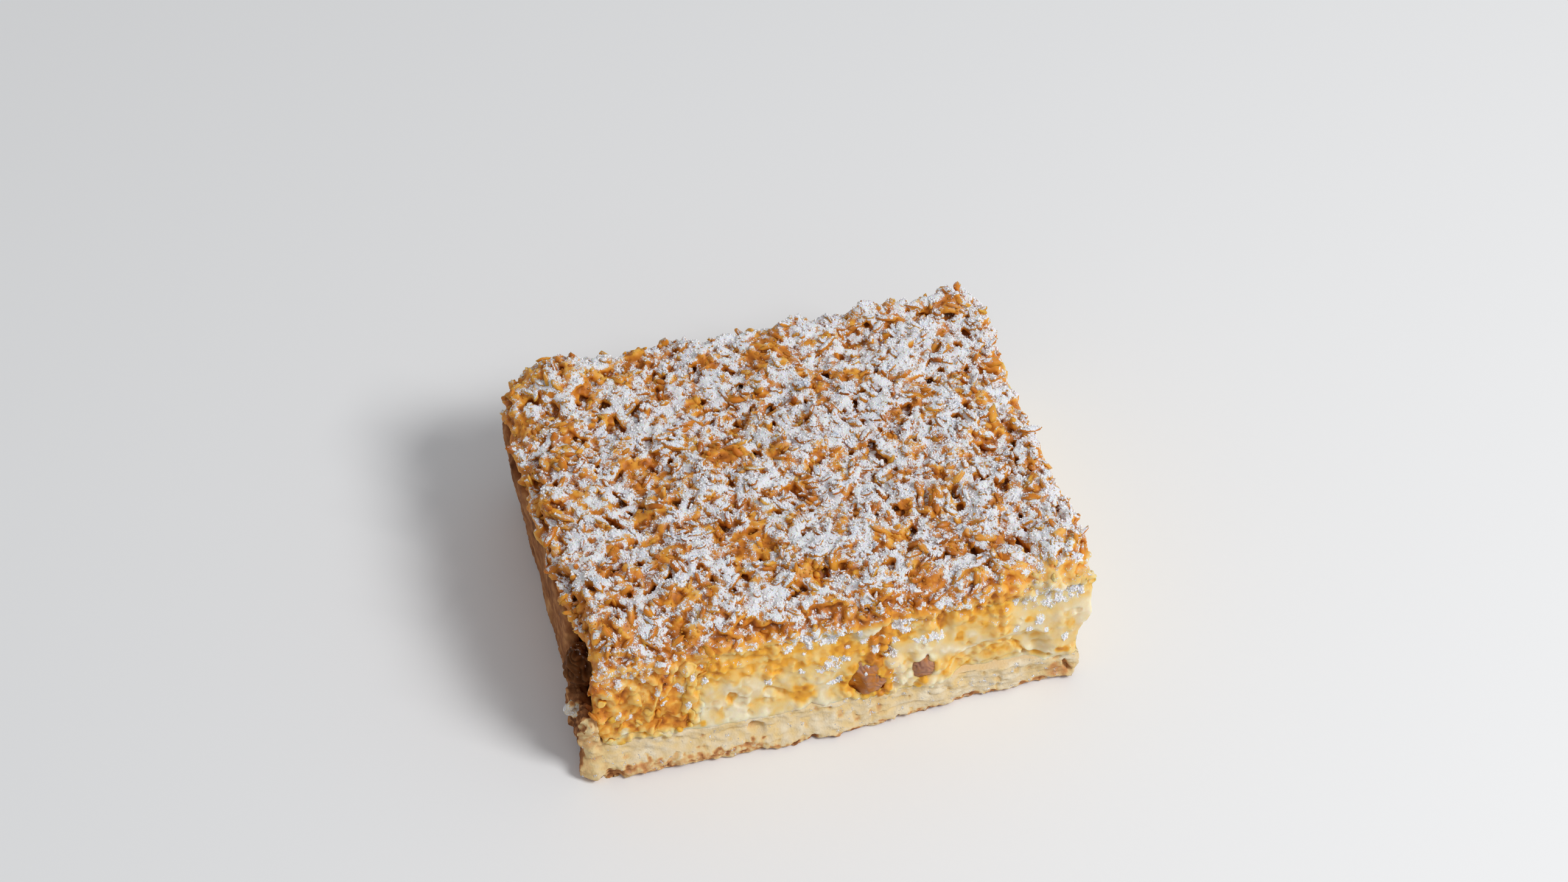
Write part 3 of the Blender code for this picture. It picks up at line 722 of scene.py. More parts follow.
PATCHES = (  # on the front cut: place (x, z), half width, half height, and how golden or brown
    (-0.0350, 0.0118, 0.0070, 0.0040, 0.46),  # the sunken topping, from here on
    (-0.0292, 0.0100, 0.0034, 0.0030, 0.54),
    (-0.0385, 0.0179, 0.0015, 0.0014, 0.70),
    (-0.0420, 0.0179, 0.0010, 0.0021, 0.14),
    (-0.0362, 0.0171, 0.0016, 0.0017, 0.34),
    (-0.0387, 0.0091, 0.0008, 0.0015, 0.06),
    (-0.0387, 0.0066, 0.0010, 0.0011, 0.44),
    (-0.0428, 0.0061, 0.0018, 0.0014, 0.55),
    (-0.0308, 0.0210, 0.0008, 0.0048, 0.66),
    (-0.0287, 0.0130, 0.0010, 0.0011, 0.56),
    (-0.0264, 0.0150, 0.0018, 0.0050, 0.37),
    (-0.0262, 0.0090, 0.0010, 0.0020, 0.42),
    (-0.0120, 0.0160, 0.0020, 0.0016, 0.44),
    (-0.0286, 0.0090, 0.0017, 0.0013, 0.62),
    (-0.0110, 0.0285, 0.0042, 0.0030, 0.20),
    (-0.0165, 0.0250, 0.0024, 0.0026, 0.26),
    (-0.0214, 0.0227, 0.0006, 0.0023, 0.58),
    (-0.0193, 0.0120, 0.0013, 0.0014, 0.42),  # spots in the curd
    (-0.0213, 0.0095, 0.0006, 0.0015, 0.32),
    (-0.0248, 0.0079, 0.0008, 0.0009, 0.44),
    (-0.0185, 0.0167, 0.0012, 0.0014, 0.34),
    (-0.0184, 0.0089, 0.0028, 0.0015, 0.00),
    (-0.0066, 0.0104, 0.0030, 0.0025, 0.52),
    (0.0001, 0.0056, 0.0011, 0.0007, 0.30),
    (0.0208, 0.0098, 0.0030, 0.0036, 0.33),
    (0.0213, 0.0115, 0.0006, 0.0007, 0.48),
    (0.0180, 0.0113, 0.0010, 0.0008, 0.52),
    (0.0241, 0.0083, 0.0006, 0.0008, 0.44),
    (0.0231, 0.0069, 0.0005, 0.0008, 0.46),
    # These two darker patches lie over the wide hollow at the right, where it faces down: painted shade.
    (0.0300, 0.0108, 0.0048, 0.0036, 0.34),
    (0.0292, 0.0178, 0.0040, 0.0034, 0.34),
    (0.0405, 0.0130, 0.0040, 0.0040, 0.20),
    (0.0385, 0.0225, 0.0066, 0.0070, 0.19),
    (0.0350, 0.0175, 0.0009, 0.0010, 0.48),
    (0.0410, 0.0088, 0.0014, 0.0013, 0.48),
    (0.0426, 0.0148, 0.0008, 0.0016, 0.40),
    (0.0036, 0.0272, 0.0014, 0.0012, 0.66),  # round the torn pocket and the sultanas
    (0.0080, 0.0205, 0.0027, 0.0036, 0.72),
    (0.0074, 0.0155, 0.0028, 0.0028, 0.78),
    (0.0050, 0.0105, 0.0052, 0.0044, 0.50),
    (0.0080, 0.0070, 0.0022, 0.0018, 0.64),
    (0.0126, 0.0200, 0.0020, 0.0022, 0.50),
    (0.0160, 0.0105, 0.0030, 0.0036, 0.34),
    (0.0098, 0.0140, 0.0016, 0.0017, 0.04),
    (0.0122, 0.0097, 0.0014, 0.0032, 0.04),
    (0.0138, 0.0059, 0.0011, 0.0009, 0.50),
    (0.0192, 0.0210, 0.0010, 0.0034, 0.66),  # under the topping at the right
    (0.0225, 0.0165, 0.0010, 0.0012, 0.52),
    (0.0245, 0.0202, 0.0014, 0.0012, 0.60),
    (0.0283, 0.0230, 0.0052, 0.0030, 0.52),
)
CREASES = (  # on the front cut: from and to (x, z), radius, and how brown
    ((0.0318, 0.0124), (0.0349, 0.0083), 0.0006, 0.36),
    ((0.0270, 0.0073), (0.0295, 0.0072), 0.0004, 0.16),
    ((0.0295, 0.0072), (0.0345, 0.0078), 0.0006, 0.20),
    ((0.0345, 0.0078), (0.0388, 0.0072), 0.0006, 0.34),
    (PALE_FROM, PALE_TO, 0.0019, 0.06),
)
SUGARED = (  # where sugar fell on the front cut: place (x, z), half width, half height, and how much
    (-0.0440, 0.0285, 0.0040, 0.0085, 0.46),
    (-0.0400, 0.0250, 0.0050, 0.0070, 0.41),
    (-0.0340, 0.0260, 0.0050, 0.0060, 0.40),
    (-0.0250, 0.0275, 0.0060, 0.0045, 0.38),
    (-0.0040, 0.0238, 0.0084, 0.0040, 0.52),
    (-0.0010, 0.0164, 0.0044, 0.0024, 0.46),
    (-0.0006, 0.0116, 0.0018, 0.0011, 0.58),
    (0.0094, 0.0160, 0.0026, 0.0010, 0.72),
    (0.0125, 0.0222, 0.0030, 0.0022, 0.64),
    (0.0176, 0.0176, 0.0028, 0.0013, 0.74),
    (0.0380, 0.0225, 0.0066, 0.0046, 0.42),
    (0.0437, 0.0222, 0.0024, 0.0024, 0.46),
    (0.0310, 0.0300, 0.0060, 0.0030, 0.36),
    (0.0225, 0.0258, 0.0070, 0.0026, 0.54),
    (0.0108, 0.0112, 0.0020, 0.0036, 0.34),
)
SUGAR_SPOTS = (  # single clumps on the front cut: place (x, z) and radius
    (-0.0454, 0.0095, 0.0005),
    (-0.0393, 0.0136, 0.0007),
    (-0.0374, 0.0124, 0.0007),
    (-0.0388, 0.0206, 0.0007),
    (-0.0362, 0.0215, 0.0007),
    (-0.0345, 0.0211, 0.0007),
    (-0.0321, 0.0183, 0.0007),
    (-0.0313, 0.0159, 0.0007),
    (-0.0278, 0.0167, 0.0008),
    (-0.0286, 0.0177, 0.0005),
    (-0.0269, 0.0140, 0.0006),
    (-0.0257, 0.0198, 0.0007),
    (-0.0240, 0.0209, 0.0007),
    (-0.0237, 0.0174, 0.0008),
    (-0.0151, 0.0237, 0.0007),
    (-0.0145, 0.0266, 0.0006),
    (-0.0123, 0.0145, 0.0009),
    (-0.0086, 0.0215, 0.0009),
    (-0.0065, 0.0156, 0.0008),
    (-0.0051, 0.0224, 0.0010),
    (-0.0030, 0.0150, 0.0005),
    (-0.0018, 0.0165, 0.0009),
    (-0.0008, 0.0216, 0.0010),
    (0.0003, 0.0118, 0.0008),
    (0.0012, 0.0169, 0.0008),
    (0.0012, 0.0231, 0.0009),
    (0.0016, 0.0065, 0.0005),
    (0.0039, 0.0058, 0.0007),
    (0.0039, 0.0227, 0.0008),
    (0.0049, 0.0202, 0.0008),
    (0.0053, 0.0116, 0.0005),
    (0.0068, 0.0181, 0.0008),
    (0.0090, 0.0164, 0.0009),
    (0.0100, 0.0153, 0.0008),
    (0.0104, 0.0090, 0.0006),
    (0.0106, 0.0188, 0.0005),
    (0.0144, 0.0176, 0.0006),
    (0.0347, 0.0280, 0.0008),
    (0.0327, 0.0222, 0.0007),
    (0.0361, 0.0222, 0.0008),
    (0.0383, 0.0206, 0.0010),
    (0.0405, 0.0214, 0.0009),
    (0.0434, 0.0228, 0.0011),
    (0.0370, 0.0170, 0.0010),
    (0.0327, 0.0158, 0.0006),
    (0.0354, 0.0151, 0.0007),
    (0.0383, 0.0143, 0.0006),
    (0.0418, 0.0120, 0.0008),
)


def cut_bake_and_shade(points):
    """How golden the cut through filling and topping is: pale below, golden above, and with the patches.
    The hollows of its broad lumps are painted darker and more golden, as painted shade.
    """
    at_front = points[:, 1] < FRONT_LINE + 0.007
    begins = np.interp(points[:, 0], [x for x, z in GOLD_FROM], [z for x, z in GOLD_FROM])
    begins = np.where(at_front, begins, GOLD_FROM_RIGHT + 0.0020 * grain(points, 0.009))
    begins = begins + 0.0014 * grain(points, 0.0045) + 0.0009 * grain(points, 0.0015, 7.0)
    band = ease(points[:, 2] - begins, -0.0020, 0.0028)
    flat = points * np.where(at_front[:, None], (1, 0, 1), (0, 1, 1))
    # The hollows of the broad lumps are painted darker and more golden: painted shade.
    shaded_hollow = ease(-broad_lumps(flat), -0.05, 0.35)
    pale = 0.06 + 0.20 * shaded_hollow + 0.14 * ease(grain(points, 0.0022, 5.0), 0.15, 0.5)
    golden = 0.40 + 0.06 * shaded_hollow + 0.20 * grain(points, 0.0034, 9.0) + 0.12 * grain(points, 0.0014, 2.0)
    bake_and_shade = pale + (golden - pale) * band
    uneven = wander(points, 0.0016, 0.0008)
    mottled = 1 + 0.35 * grain(points, 0.0015, 3.0)
    for x, z, half_width, half_height, amount in PATCHES:
        bake_and_shade += at_front * in_patch(uneven, x, z, half_width, half_height) * (amount * mottled - bake_and_shade)
    uneven = wander(points, 0.0016, 0.0004)
    for start, end, radius, amount in CREASES:
        bake_and_shade += at_front * near_line(uneven, start, end, radius) * (amount - bake_and_shade)
    return bake_and_shade


def hollowed(points):
    """How deep the hollows of the front cut are at each point."""
    uneven = wander(points, 0.0016, 0.0005)
    depths = PIT_DEPTH * pitted(points)
    for start, end, radius, depth in HOLLOWS:
        depths += depth * near_line(uneven, start, end, radius)
    return depths


def with_bits(points, bake_and_shade):
    """The same bake, but with that of the bits where they lie."""
    at_front = points[:, 1] < FRONT_LINE + 0.0030
    mottled = 1 + 0.25 * grain(points, 0.0012, 7.0)
    for x, z, size, amount in BITS:
        away = np.hypot(points[:, 0] - x, points[:, 2] - z) / size
        bake_and_shade = bake_and_shade + at_front * (1 - ease(away, 0.40, 0.55)) * (amount * mottled - bake_and_shade)
    return bake_and_shade


def cut_sugar(points, normals):
    """Where sugar lies on the cuts: the patches and clumps at the front, and ledges that face up."""
    at_front = points[:, 1] < FRONT_LINE + 0.007
    sugar = 0.04 + 0.34 * ease(normals[:, 2], 0.30, 0.75) * ease(points[:, 2], 0.009, 0.020)
    uneven = wander(points, 0.0012, 0.0007)
    for x, z, half_width, half_height, amount in SUGARED:
        sugar = np.maximum(sugar, amount * at_front * in_patch(uneven, x, z, half_width, half_height))
    sugar = sugar * (0.92 + 1.2 * grain(points, 0.0010, 5.0))
    uneven = wander(points, 0.0009, 0.0006)
    lacy = 0.66 + 0.3 * grain(points, 0.0007, 2.5)
    for x, z, radius in SUGAR_SPOTS:
        sugar = np.maximum(sugar, lacy * at_front * in_patch(uneven, x, z, 1.1 * radius, 1.4 * radius))
    return sugar


filling = copy_of_node("cheese_filling", "curd_filling")
filling_low, filling_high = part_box("cheese_filling")
lift_points(filling, lambda place: place.z > filling_high.z - 0.0001, FILLING_RISE)
lift_points(filling, lambda place: place.z < filling_low.z + 0.0001, -FILLING_SINK)
fuse(filling, FIRST_VOXEL)
points, front, right = cut_sides(filling)
set_on_front(filling, front, reach=0.0014)
apply_modifier(filling, "TRIANGULATE")


def on_cuts(places, normals):
    """1 on the front and right cuts, and 0 elsewhere."""
    front = (normals[:, 1] < -0.5) & (places[:, 1] < FRONT_LINE + 0.004)
    right = (normals[:, 0] > 0.5) & (places[:, 0] > cad_high.x - 0.006)
    return (front | right).astype(float)


def on_golden_cuts(places, normals):
    """1 where a cut is golden, and 0 elsewhere."""
    return on_cuts(places, normals) * ease(cut_bake_and_shade(places), 0.22, 0.42)


def facing_front(count):
    """The direction that the front cut faces, so many times."""
    return np.tile((0.0, -1.0, 0.0), (count, 1))


curd_lumps = stick_on(filling, on_cuts, *CURD_LUMPS, rng)
golden_lumps = stick_on(filling, on_golden_cuts, *GOLDEN_LUMPS, rng, roundness=1)
ring_lumps = []
for node in ("sultana_large", "sultana_small"):
    fruit_low, fruit_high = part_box(node)
    turn = np.arange(RING_LUMPS) / RING_LUMPS * 2 * math.pi + rng.uniform(-0.2, 0.2, RING_LUMPS)
    places = np.zeros((RING_LUMPS, 3))
    places[:, 0] = (fruit_low.x + fruit_high.x) / 2 + (fruit_high.x - fruit_low.x) / 2 * np.cos(turn)
    places[:, 2] = (fruit_low.z + fruit_high.z) / 2 + (fruit_high.z - fruit_low.z) / 2 * np.sin(turn)
    places[:, 1] = front_depth(places[:, 0], places[:, 2])
    ring_sizes = rng.uniform(0.0014, 0.0028, RING_LUMPS)
    ring_lumps.append(stick_at(filling, places, facing_front(RING_LUMPS), ring_sizes, 0.6, rng))
edge_x = np.concatenate((np.full(EDGE_LUMPS, LOBE_EDGE), np.linspace(-0.0420, LOBE_CORNER, FOOT_LUMPS)))
edge_z = np.concatenate((np.linspace(0.0085, 0.0215, EDGE_LUMPS), np.full(FOOT_LUMPS, LOBE_FOOT)))
edge_x += rng.uniform(-0.0012, 0.0012, len(edge_x))
edge_z += rng.uniform(-0.0005, 0.0005, len(edge_z))
edge_places = np.column_stack((edge_x, front_depth(edge_x, edge_z) - 0.0003, edge_z))
edge_sizes = rng.uniform(0.0020, 0.0044, len(edge_x)) * np.where(edge_x > LOBE_CORNER, 1.0, 0.5)
stick_at(filling, edge_places, facing_front(len(edge_x)), edge_sizes, 0.56, rng, roundness=1)
bit_places = np.array([(x, front_depth(x, z) - 0.0002, z) for x, z, size, amount in BITS])
bit_sizes = np.array([size for x, z, size, amount in BITS])
stick_at(filling, bit_places, facing_front(len(BITS)), 1.15 * bit_sizes, 0.5, rng, roundness=1)
fuse(filling, FILLING_VOXEL)
points = points_of(filling)
points[:, 1] += FILLING_BACK * ease(points[:, 1], filling_high.y - 0.0030, filling_high.y - 0.0004)
move_points(filling, points)
points, front, right = cut_sides(filling)
tear(filling, front, right, 0.30 + 0.90 * ease(cut_bake_and_shade(points), 0.20, 0.42))
points, front, right = cut_sides(filling)
dip = hollowed(points)
dip += SEAM_DIP * (1 - ease(points[:, 2], floor_top - 0.0002, floor_top + 0.0008))
dip += SEAM_DIP * ease(points[:, 2], filling_high.z - 0.0006, filling_high.z + 0.0004)
points[:, 1] += front * dip
move_points(filling, points)
thin_out(filling, FILLING_FACES)
filling.data.shade_smooth()

points, front, right = cut_sides(filling)
cut = np.maximum(front, right)
filling_bake_and_shade = cut_bake_and_shade(points)
golden_tint = 0.14 * tint_of(points, golden_lumps) * ease(filling_bake_and_shade, 0.2, 0.4)
filling_bake_and_shade += golden_tint + 0.05 * tint_of(points, curd_lumps)
# Ridges of the curd are painted paler, as painted highlights, and creases darker, as painted shade.
filling_bake_and_shade -= 0.12 * convexity(filling, spans=5)
for lumps in ring_lumps:
    filling_bake_and_shade += 0.16 * np.minimum(tint_of(points, lumps), 0.6)
# Where the cut lies back behind its face, in the torn pocket and under the topping, it is painted brown:
# partly the pocket's browned curd, partly painted shade in the recesses.
deep_in = ease(points[:, 1] - front_depth(points[:, 0], points[:, 2]), 0.0010, 0.0024)
deep_in *= points[:, 2] > 0.009
deep_in *= points[:, 0] < 0.020
filling_bake_and_shade += front * deep_in * (0.66 + 0.2 * grain(points, 0.002) - filling_bake_and_shade)
# The curd inside the broken left wall is painted dark brown: painted shade of the recess.
break_shade = (points[:, 0] < cad_low.x + 0.0085) * (1 - cut)
filling_bake_and_shade = with_bits(points, filling_bake_and_shade)
mark(filling, "bake_and_shade", filling_bake_and_shade + break_shade * (0.80 + 0.2 * grain(points, 0.002) - filling_bake_and_shade))
filling_sugar = cut * cut_sugar(points, normals_of(filling)) * (1 - 0.8 * deep_in)
mark(filling, "sugar", filling_sugar)
curd = baked_material(
    "curd", FILLING_COLOURS, roughness=0.45, mottle=0.14, relief=0.3, gloss=0.3, translucent=0.6
)
filling.data.materials.append(curd)
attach(filling, "root")
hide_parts("cheese_filling")


# The dried fruit: two sultanas that the knife laid bare in the front cut, and a dark raisin in the broken
# left wall. They are shrunken grapes, with folded skins and a thin sticky gloss, and lie in hollows.
SULTANA_COLOURS = (  # from the amber flesh to the mauve of the skin; its darkest end is painted shade in the creases of the folds
    (0.00, (0.600, 0.220, 0.012)),
    (0.30, (0.450, 0.160, 0.024)),
    (0.60, (0.430, 0.210, 0.120)),
    (1.00, (0.290, 0.130, 0.095)),
)
RAISIN_COLOURS = (
    (0.00, (0.190, 0.075, 0.024)),
    (0.50, (0.090, 0.032, 0.010)),
    (1.00, (0.035, 0.012, 0.004)),
)
FRUIT = (  # node, piece, colours, flatness, how far it is sunk, fold size and depth, mean bake, sugar, gloss
    ("sultana_large", "sultana_large_skin", SULTANA_COLOURS, 0.80, 0.0004, 0.0014, 0.00046, 0.50, 0.18, 0.25),
    ("sultana_small", "sultana_small_skin", SULTANA_COLOURS, 0.90, 0.0003, 0.0012, 0.00040, 0.66, 0.16, 0.25),
    ("raisin_left", "raisin_left_skin", RAISIN_COLOURS, 1.00, 0.0000, 0.0016, 0.00070, 0.35, 0.02, 0.04),
)
FRUIT_GROWTH = 1.07  # how much larger a piece of fruit is than its CAD solid, before its folds
FACET = (0.0027, 0.0102, 0.0022, 0.0034)  # the hollow in the large sultana, as a patch on the front cut
FACET_DEPTH = 0.0015
for node, name, colours, flatness, sunk, fold_size, fold_depth, mean_bake, fruit_sugar, gloss in FRUIT:
    fruit = copy_of_node(node, name)
    apply_modifier(fruit, "TRIANGULATE")
    apply_modifier(fruit, "SUBSURF", levels=3, render_levels=3)
    points, normals = points_of(fruit), normals_of(fruit)
    middle = points.mean(axis=0)
    points = middle + FRUIT_GROWTH * (points - middle)
    points += normals * (0.0003 + 0.0006 * grain(points, 0.0032, 2.0))[:, None]
    across = points @ (0.8, 0.2, 0.55) / fold_size + 1.6 * grain(points, 1.4 * fold_size, 4.0)
    ridged = 1 - 2.2 * np.abs(grain(points, 1.3 * fold_size, 9.0))
    folds = 0.5 * np.abs(np.sin(math.pi * across)) + 0.5 * ridged + 0.25 * grain(points, fold_size / 2, 1.0)
    points += normals * (fold_depth * (folds - 0.6))[:, None]
    points[:, 1] = middle[1] + (points[:, 1] - middle[1]) * flatness + sunk
    hollow = in_patch(points, *FACET) * (node == "sultana_large") * (points[:, 1] < middle[1])
    points[:, 1] += FACET_DEPTH * hollow
    move_points(fruit, points)
    fruit.data.shade_smooth()
    # The creases between the folds are painted darker and their crests paler: painted shade and painted
    # highlights.
    fruit_bake_and_shade = mean_bake + 0.35 * grain(points, 0.0022) + 0.40 * (0.55 - folds)
    mark(fruit, "bake_and_shade", fruit_bake_and_shade + hollow * (0.08 + 0.3 * grain(points, 0.0015) - fruit_bake_and_shade))
    powdered = ease(grain(points, 0.0009, 5.0) + 0.3 * normals[:, 2], 0.5, 0.7)
    mark(fruit, "sugar", fruit_sugar + 0.40 * powdered)
    dried_grape = baked_material(
        f"{name}_of_dried_grape", colours, roughness=0.5, mottle=0.3, relief=0.3, gloss=gloss, translucent=0.3
    )
    fruit.data.materials.append(dried_grape)
    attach(fruit, "root")
    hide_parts(node)


# The grated topping: a rough dough was chilled, grated over the curd, and baked until its strands stuck
# together. They are modelled in a few lengths, laid over a low core one after another so that each drapes
# on what lies below, and fused by a remesh, which leaves the pits and ridges that show from above.
CORE_DROP = 0.0017  # how far the core's top lies below the finished top
LAY_CELL = 0.0004  # of the height map that the strands are laid on
STRAND_CUTS = 7
STRANDS = (  # length, width, thickness, how many
    (0.0150, 0.0017, 0.0014, 80),
    (0.0110, 0.0020, 0.0015, 160),
    (0.0085, 0.0016, 0.0015, 260),
    (0.0062, 0.0019, 0.0014, 340),
    (0.0042, 0.0016, 0.0016, 420),
    (0.0026, 0.0015, 0.0015, 420),
)
STRAND_EMBED = 0.35  # share of its thickness that a strand sinks into what it lies on
STRAND_KEEP_IN = 0.0010  # from the rim to a strand's middle line
TOP_PITS = 40  # places that no strand crosses
PIT_RADIUS = 0.0009
PALE_STRAND = (0.0074, 0.0024, 0.0026)  # length, width and thickness of the one that stayed pale
SIDE_CRUMBS = (560, 0.0010, 0.0040, 0.64)  # how many, smallest and largest size, and how deep they are sunk
RIM_CRUMBS = (900, 0.0014, 0.0042, 0.50)
TOP_CRUMBS = (1000, 0.0008, 0.0026, 0.50)  # broken bits of strand that lie on the others
FUSE_VOXEL = 0.00030
TOPPING_FACES = 196000
TOPPING_SEED = 11
SUGAR_HEIGHT = 0.00016  # how thick the sugar lies on the strands
RIM_DROP = 0.0024  # how far the top rounds down at the front rim
RIM_WIDTH = 0.0080
SWELL = 0.0017  # height of the broad mounds and hollows of the top
SWELLS = ((1.0, 0.0140, 3.3), (0.5, 0.0065, 8.1), (0.4, 0.0034, 5.2))  # share of it, size, noise start
BACK_LUMPS = (  # of the back edge, at the right: place (x, y), radius and height
    (0.0215, 0.0360, 0.0026, 0.0012),
    (0.0275, 0.0355, 0.0030, 0.0016),
    (0.0345, 0.0345, 0.0034, 0.0013),
)
LOBE_GROWTH = 0.0009  # how far the sunken part reaches into what it sank through
TOPPING_COLOURS = (
    (0.00, (0.860, 0.760, 0.550)),
    (0.09, (0.800, 0.650, 0.390)),
    (0.24, (0.840, 0.560, 0.190)),
    (0.45, (0.830, 0.380, 0.046)),
    (0.65, (0.630, 0.210, 0.019)),
    (0.85, (0.370, 0.105, 0.010)),
    (1.00, (0.150, 0.042, 0.006)),
)


def rim_drop(x, y):
    """How far the top rounds down towards the front rim, least at the right."""
    depth = RIM_DROP * (1 - 0.5 * ease(x, -0.010, 0.030) + 0.5 * ease(-x, 0.010, 0.035))
    return depth * (1 - ease(y, FRONT_LINE + LEAN, FRONT_LINE + LEAN + RIM_WIDTH)) ** 2


def swell(x, y):
    """How far the top rises or sinks, in broad mounds and hollows."""
    rise = 0.0
    for share, size, start in SWELLS:
        rise += share * SWELL * noise.noise((x / size, y / size, start))
    for lump_x, lump_y, radius, height in BACK_LUMPS:
        rise += height * math.exp(-((x - lump_x) ** 2 + (y - lump_y) ** 2) / radius**2)
    return rise


def make_strand(length, width, thickness, seed):
    """One grated strand along X: flat and a little lumpy, with thin torn ends."""
    bpy.ops.object.select_all(action="DESELECT")
    bpy.ops.mesh.primitive_cube_add(size=1, location=(0, 0, 0))
    strand = bpy.context.object
    strand.name = f"strand_{seed}"
    bpy.ops.object.mode_set(mode="EDIT")
    bpy.ops.transform.resize(value=(length, width, thickness))
    bpy.ops.mesh.select_all(action="DESELECT")
    bm = bmesh.from_edit_mesh(strand.data)
    for edge in bm.edges:
        edge.select = abs(edge.verts[0].co.x - edge.verts[1].co.x) > length / 2
    bmesh.update_edit_mesh(strand.data)
    bpy.ops.mesh.subdivide(number_cuts=STRAND_CUTS)
    bpy.ops.mesh.select_all(action="SELECT")
    bpy.ops.mesh.bevel(offset=thickness * 0.28, segments=1, affect="EDGES")
    bpy.ops.mesh.select_all(action="DESELECT")
    bm = bmesh.from_edit_mesh(strand.data)
    for vert in bm.verts:
        vert.select = abs(vert.co.x) > length * 0.42
    bm.select_flush_mode()
    bmesh.update_edit_mesh(strand.data)
    bpy.ops.transform.resize(value=(1, 0.62, 0.5))
    bpy.ops.mesh.select_all(action="SELECT")
    bpy.ops.transform.vertex_random(offset=thickness * 0.16, seed=seed)
    bpy.ops.object.mode_set(mode="OBJECT")
    return strand


topping = copy_of_node("grated_topping", "grated_dough")
slab_low = filling_high.z
slab_middle = slab_low + (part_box("grated_topping")[1].z - slab_low) * 0.45
lift_points(topping, lambda place: place.z > slab_middle, -CORE_DROP)
points = points_of(topping)
mounds = np.array([swell(x, y) for x, y in points[:, :2].tolist()])
points[:, 2] += (mounds - rim_drop(points[:, 0], points[:, 1])) * (points[:, 2] > slab_middle - CORE_DROP)
points[:, 2] -= SEAM_OVERLAP * (np.abs(points[:, 2] - slab_low) < 0.0001)
move_points(topping, points)
fuse(topping, FIRST_VOXEL)
points, front, right = cut_sides(topping)
set_on_front(topping, front, reach=0.0024)
points, normals = points_of(topping), normals_of(topping)
in_lobe = (points[:, 2] < slab_low - 0.0005) & (points[:, 1] < FRONT_LINE + 0.004)
points[:, (0, 2)] += LOBE_GROWTH * in_lobe[:, None] * normals[:, (0, 2)]
move_points(topping, points)
apply_modifier(topping, "TRIANGULATE")


def on_rim(places, normals):
    """1 where the top rounds down at the left and the back, 2 more at the front, and 0 elsewhere."""
    front = (places[:, 1] < FRONT_LINE + 0.0060) & (normals[:, 1] < -0.15)
    left = (places[:, 0] < cad_low.x + 0.0050) & (normals[:, 2] < 0.95)
    back = (places[:, 1] > cad_high.y - 0.0050) & (normals[:, 2] < 0.95)
    return (places[:, 2] > slab_low + 0.0015) * (2.0 * front + (left | back))


def on_sides(places, normals):
    """1 on the topping's outer sides and on the sunken part, and 0 on its top."""
    low = places[:, 2] < slab_low + 0.0050
    inner = (places[:, 2] < slab_low) & (places[:, 1] > FRONT_LINE + 0.003)
    return low * ~inner * (np.abs(normals[:, 2]) < 0.8)


side_crumbs = stick_on(topping, on_sides, *SIDE_CRUMBS, rng, roundness=1)
stick_on(topping, on_rim, *RIM_CRUMBS, rng, roundness=1)

# The height map: where the topping lies, how high its finished top is, and how high it has been built so far.
NOWHERE = -1.0
columns = int((cad_high.x - cad_low.x) / LAY_CELL) + 1
rows = int((cad_high.y - cad_low.y) / LAY_CELL) + 1
cad_topping = frame["nodes"]["grated_topping"]
cad_faces = [tuple(face.vertices) for face in cad_topping.data.polygons]
top_finder = BVHTree.FromPolygons(points_of(cad_topping).tolist(), cad_faces)
finished = np.full((columns, rows), NOWHERE)
for i in range(columns):
    for j in range(rows):
        above = Vector((cad_low.x + i * LAY_CELL, cad_low.y + j * LAY_CELL, cad_high.z + 0.01))
        place = top_finder.ray_cast(above, Vector((0, 0, -1)))[0]
        if place is not None:
            finished[i, j] = place.z + swell(place.x, place.y) - rim_drop(place.x, place.y)


def cells(x, y):
    """The cells of the height map in which these places lie."""
    i = np.clip(np.round((x - cad_low.x) / LAY_CELL).astype(int), 0, columns - 1)
    j = np.clip(np.round((y - cad_low.y) / LAY_CELL).astype(int), 0, rows - 1)
    return i, j


def shrunk(mask, steps):
    """The cells of a mask that are at least that many cells inside it."""
    for _ in range(steps):
        inner = mask.copy()
        for axis in (0, 1):
            inner &= np.roll(mask, 1, axis) & np.roll(mask, -1, axis)
        mask = inner
    return mask


covered = finished > NOWHERE
strand_room = shrunk(covered, round(STRAND_KEEP_IN / LAY_CELL))
built = np.where(covered, finished - CORE_DROP, NOWHERE)
draw = random.Random(TOPPING_SEED)
pits = []
while len(pits) < TOP_PITS:
    spot = (draw.uniform(cad_low.x, cad_high.x), draw.uniform(cad_low.y, cad_high.y))
    if all(math.dist(spot, other) > 0.005 for other in pits):
        pits.append(spot)
pit_map = np.zeros((columns, rows), bool)
cell_x = cad_low.x + LAY_CELL * np.arange(columns)[:, None]
cell_y = cad_low.y + LAY_CELL * np.arange(rows)[None, :]
for pit_x, pit_y in pits:
    radius = PIT_RADIUS * draw.uniform(0.5, 1.3)
    pit_map |= (cell_x - pit_x) ** 2 + (cell_y - pit_y) ** 2 < radius**2

laid_points, laid_faces = [], []
laid_count = 0


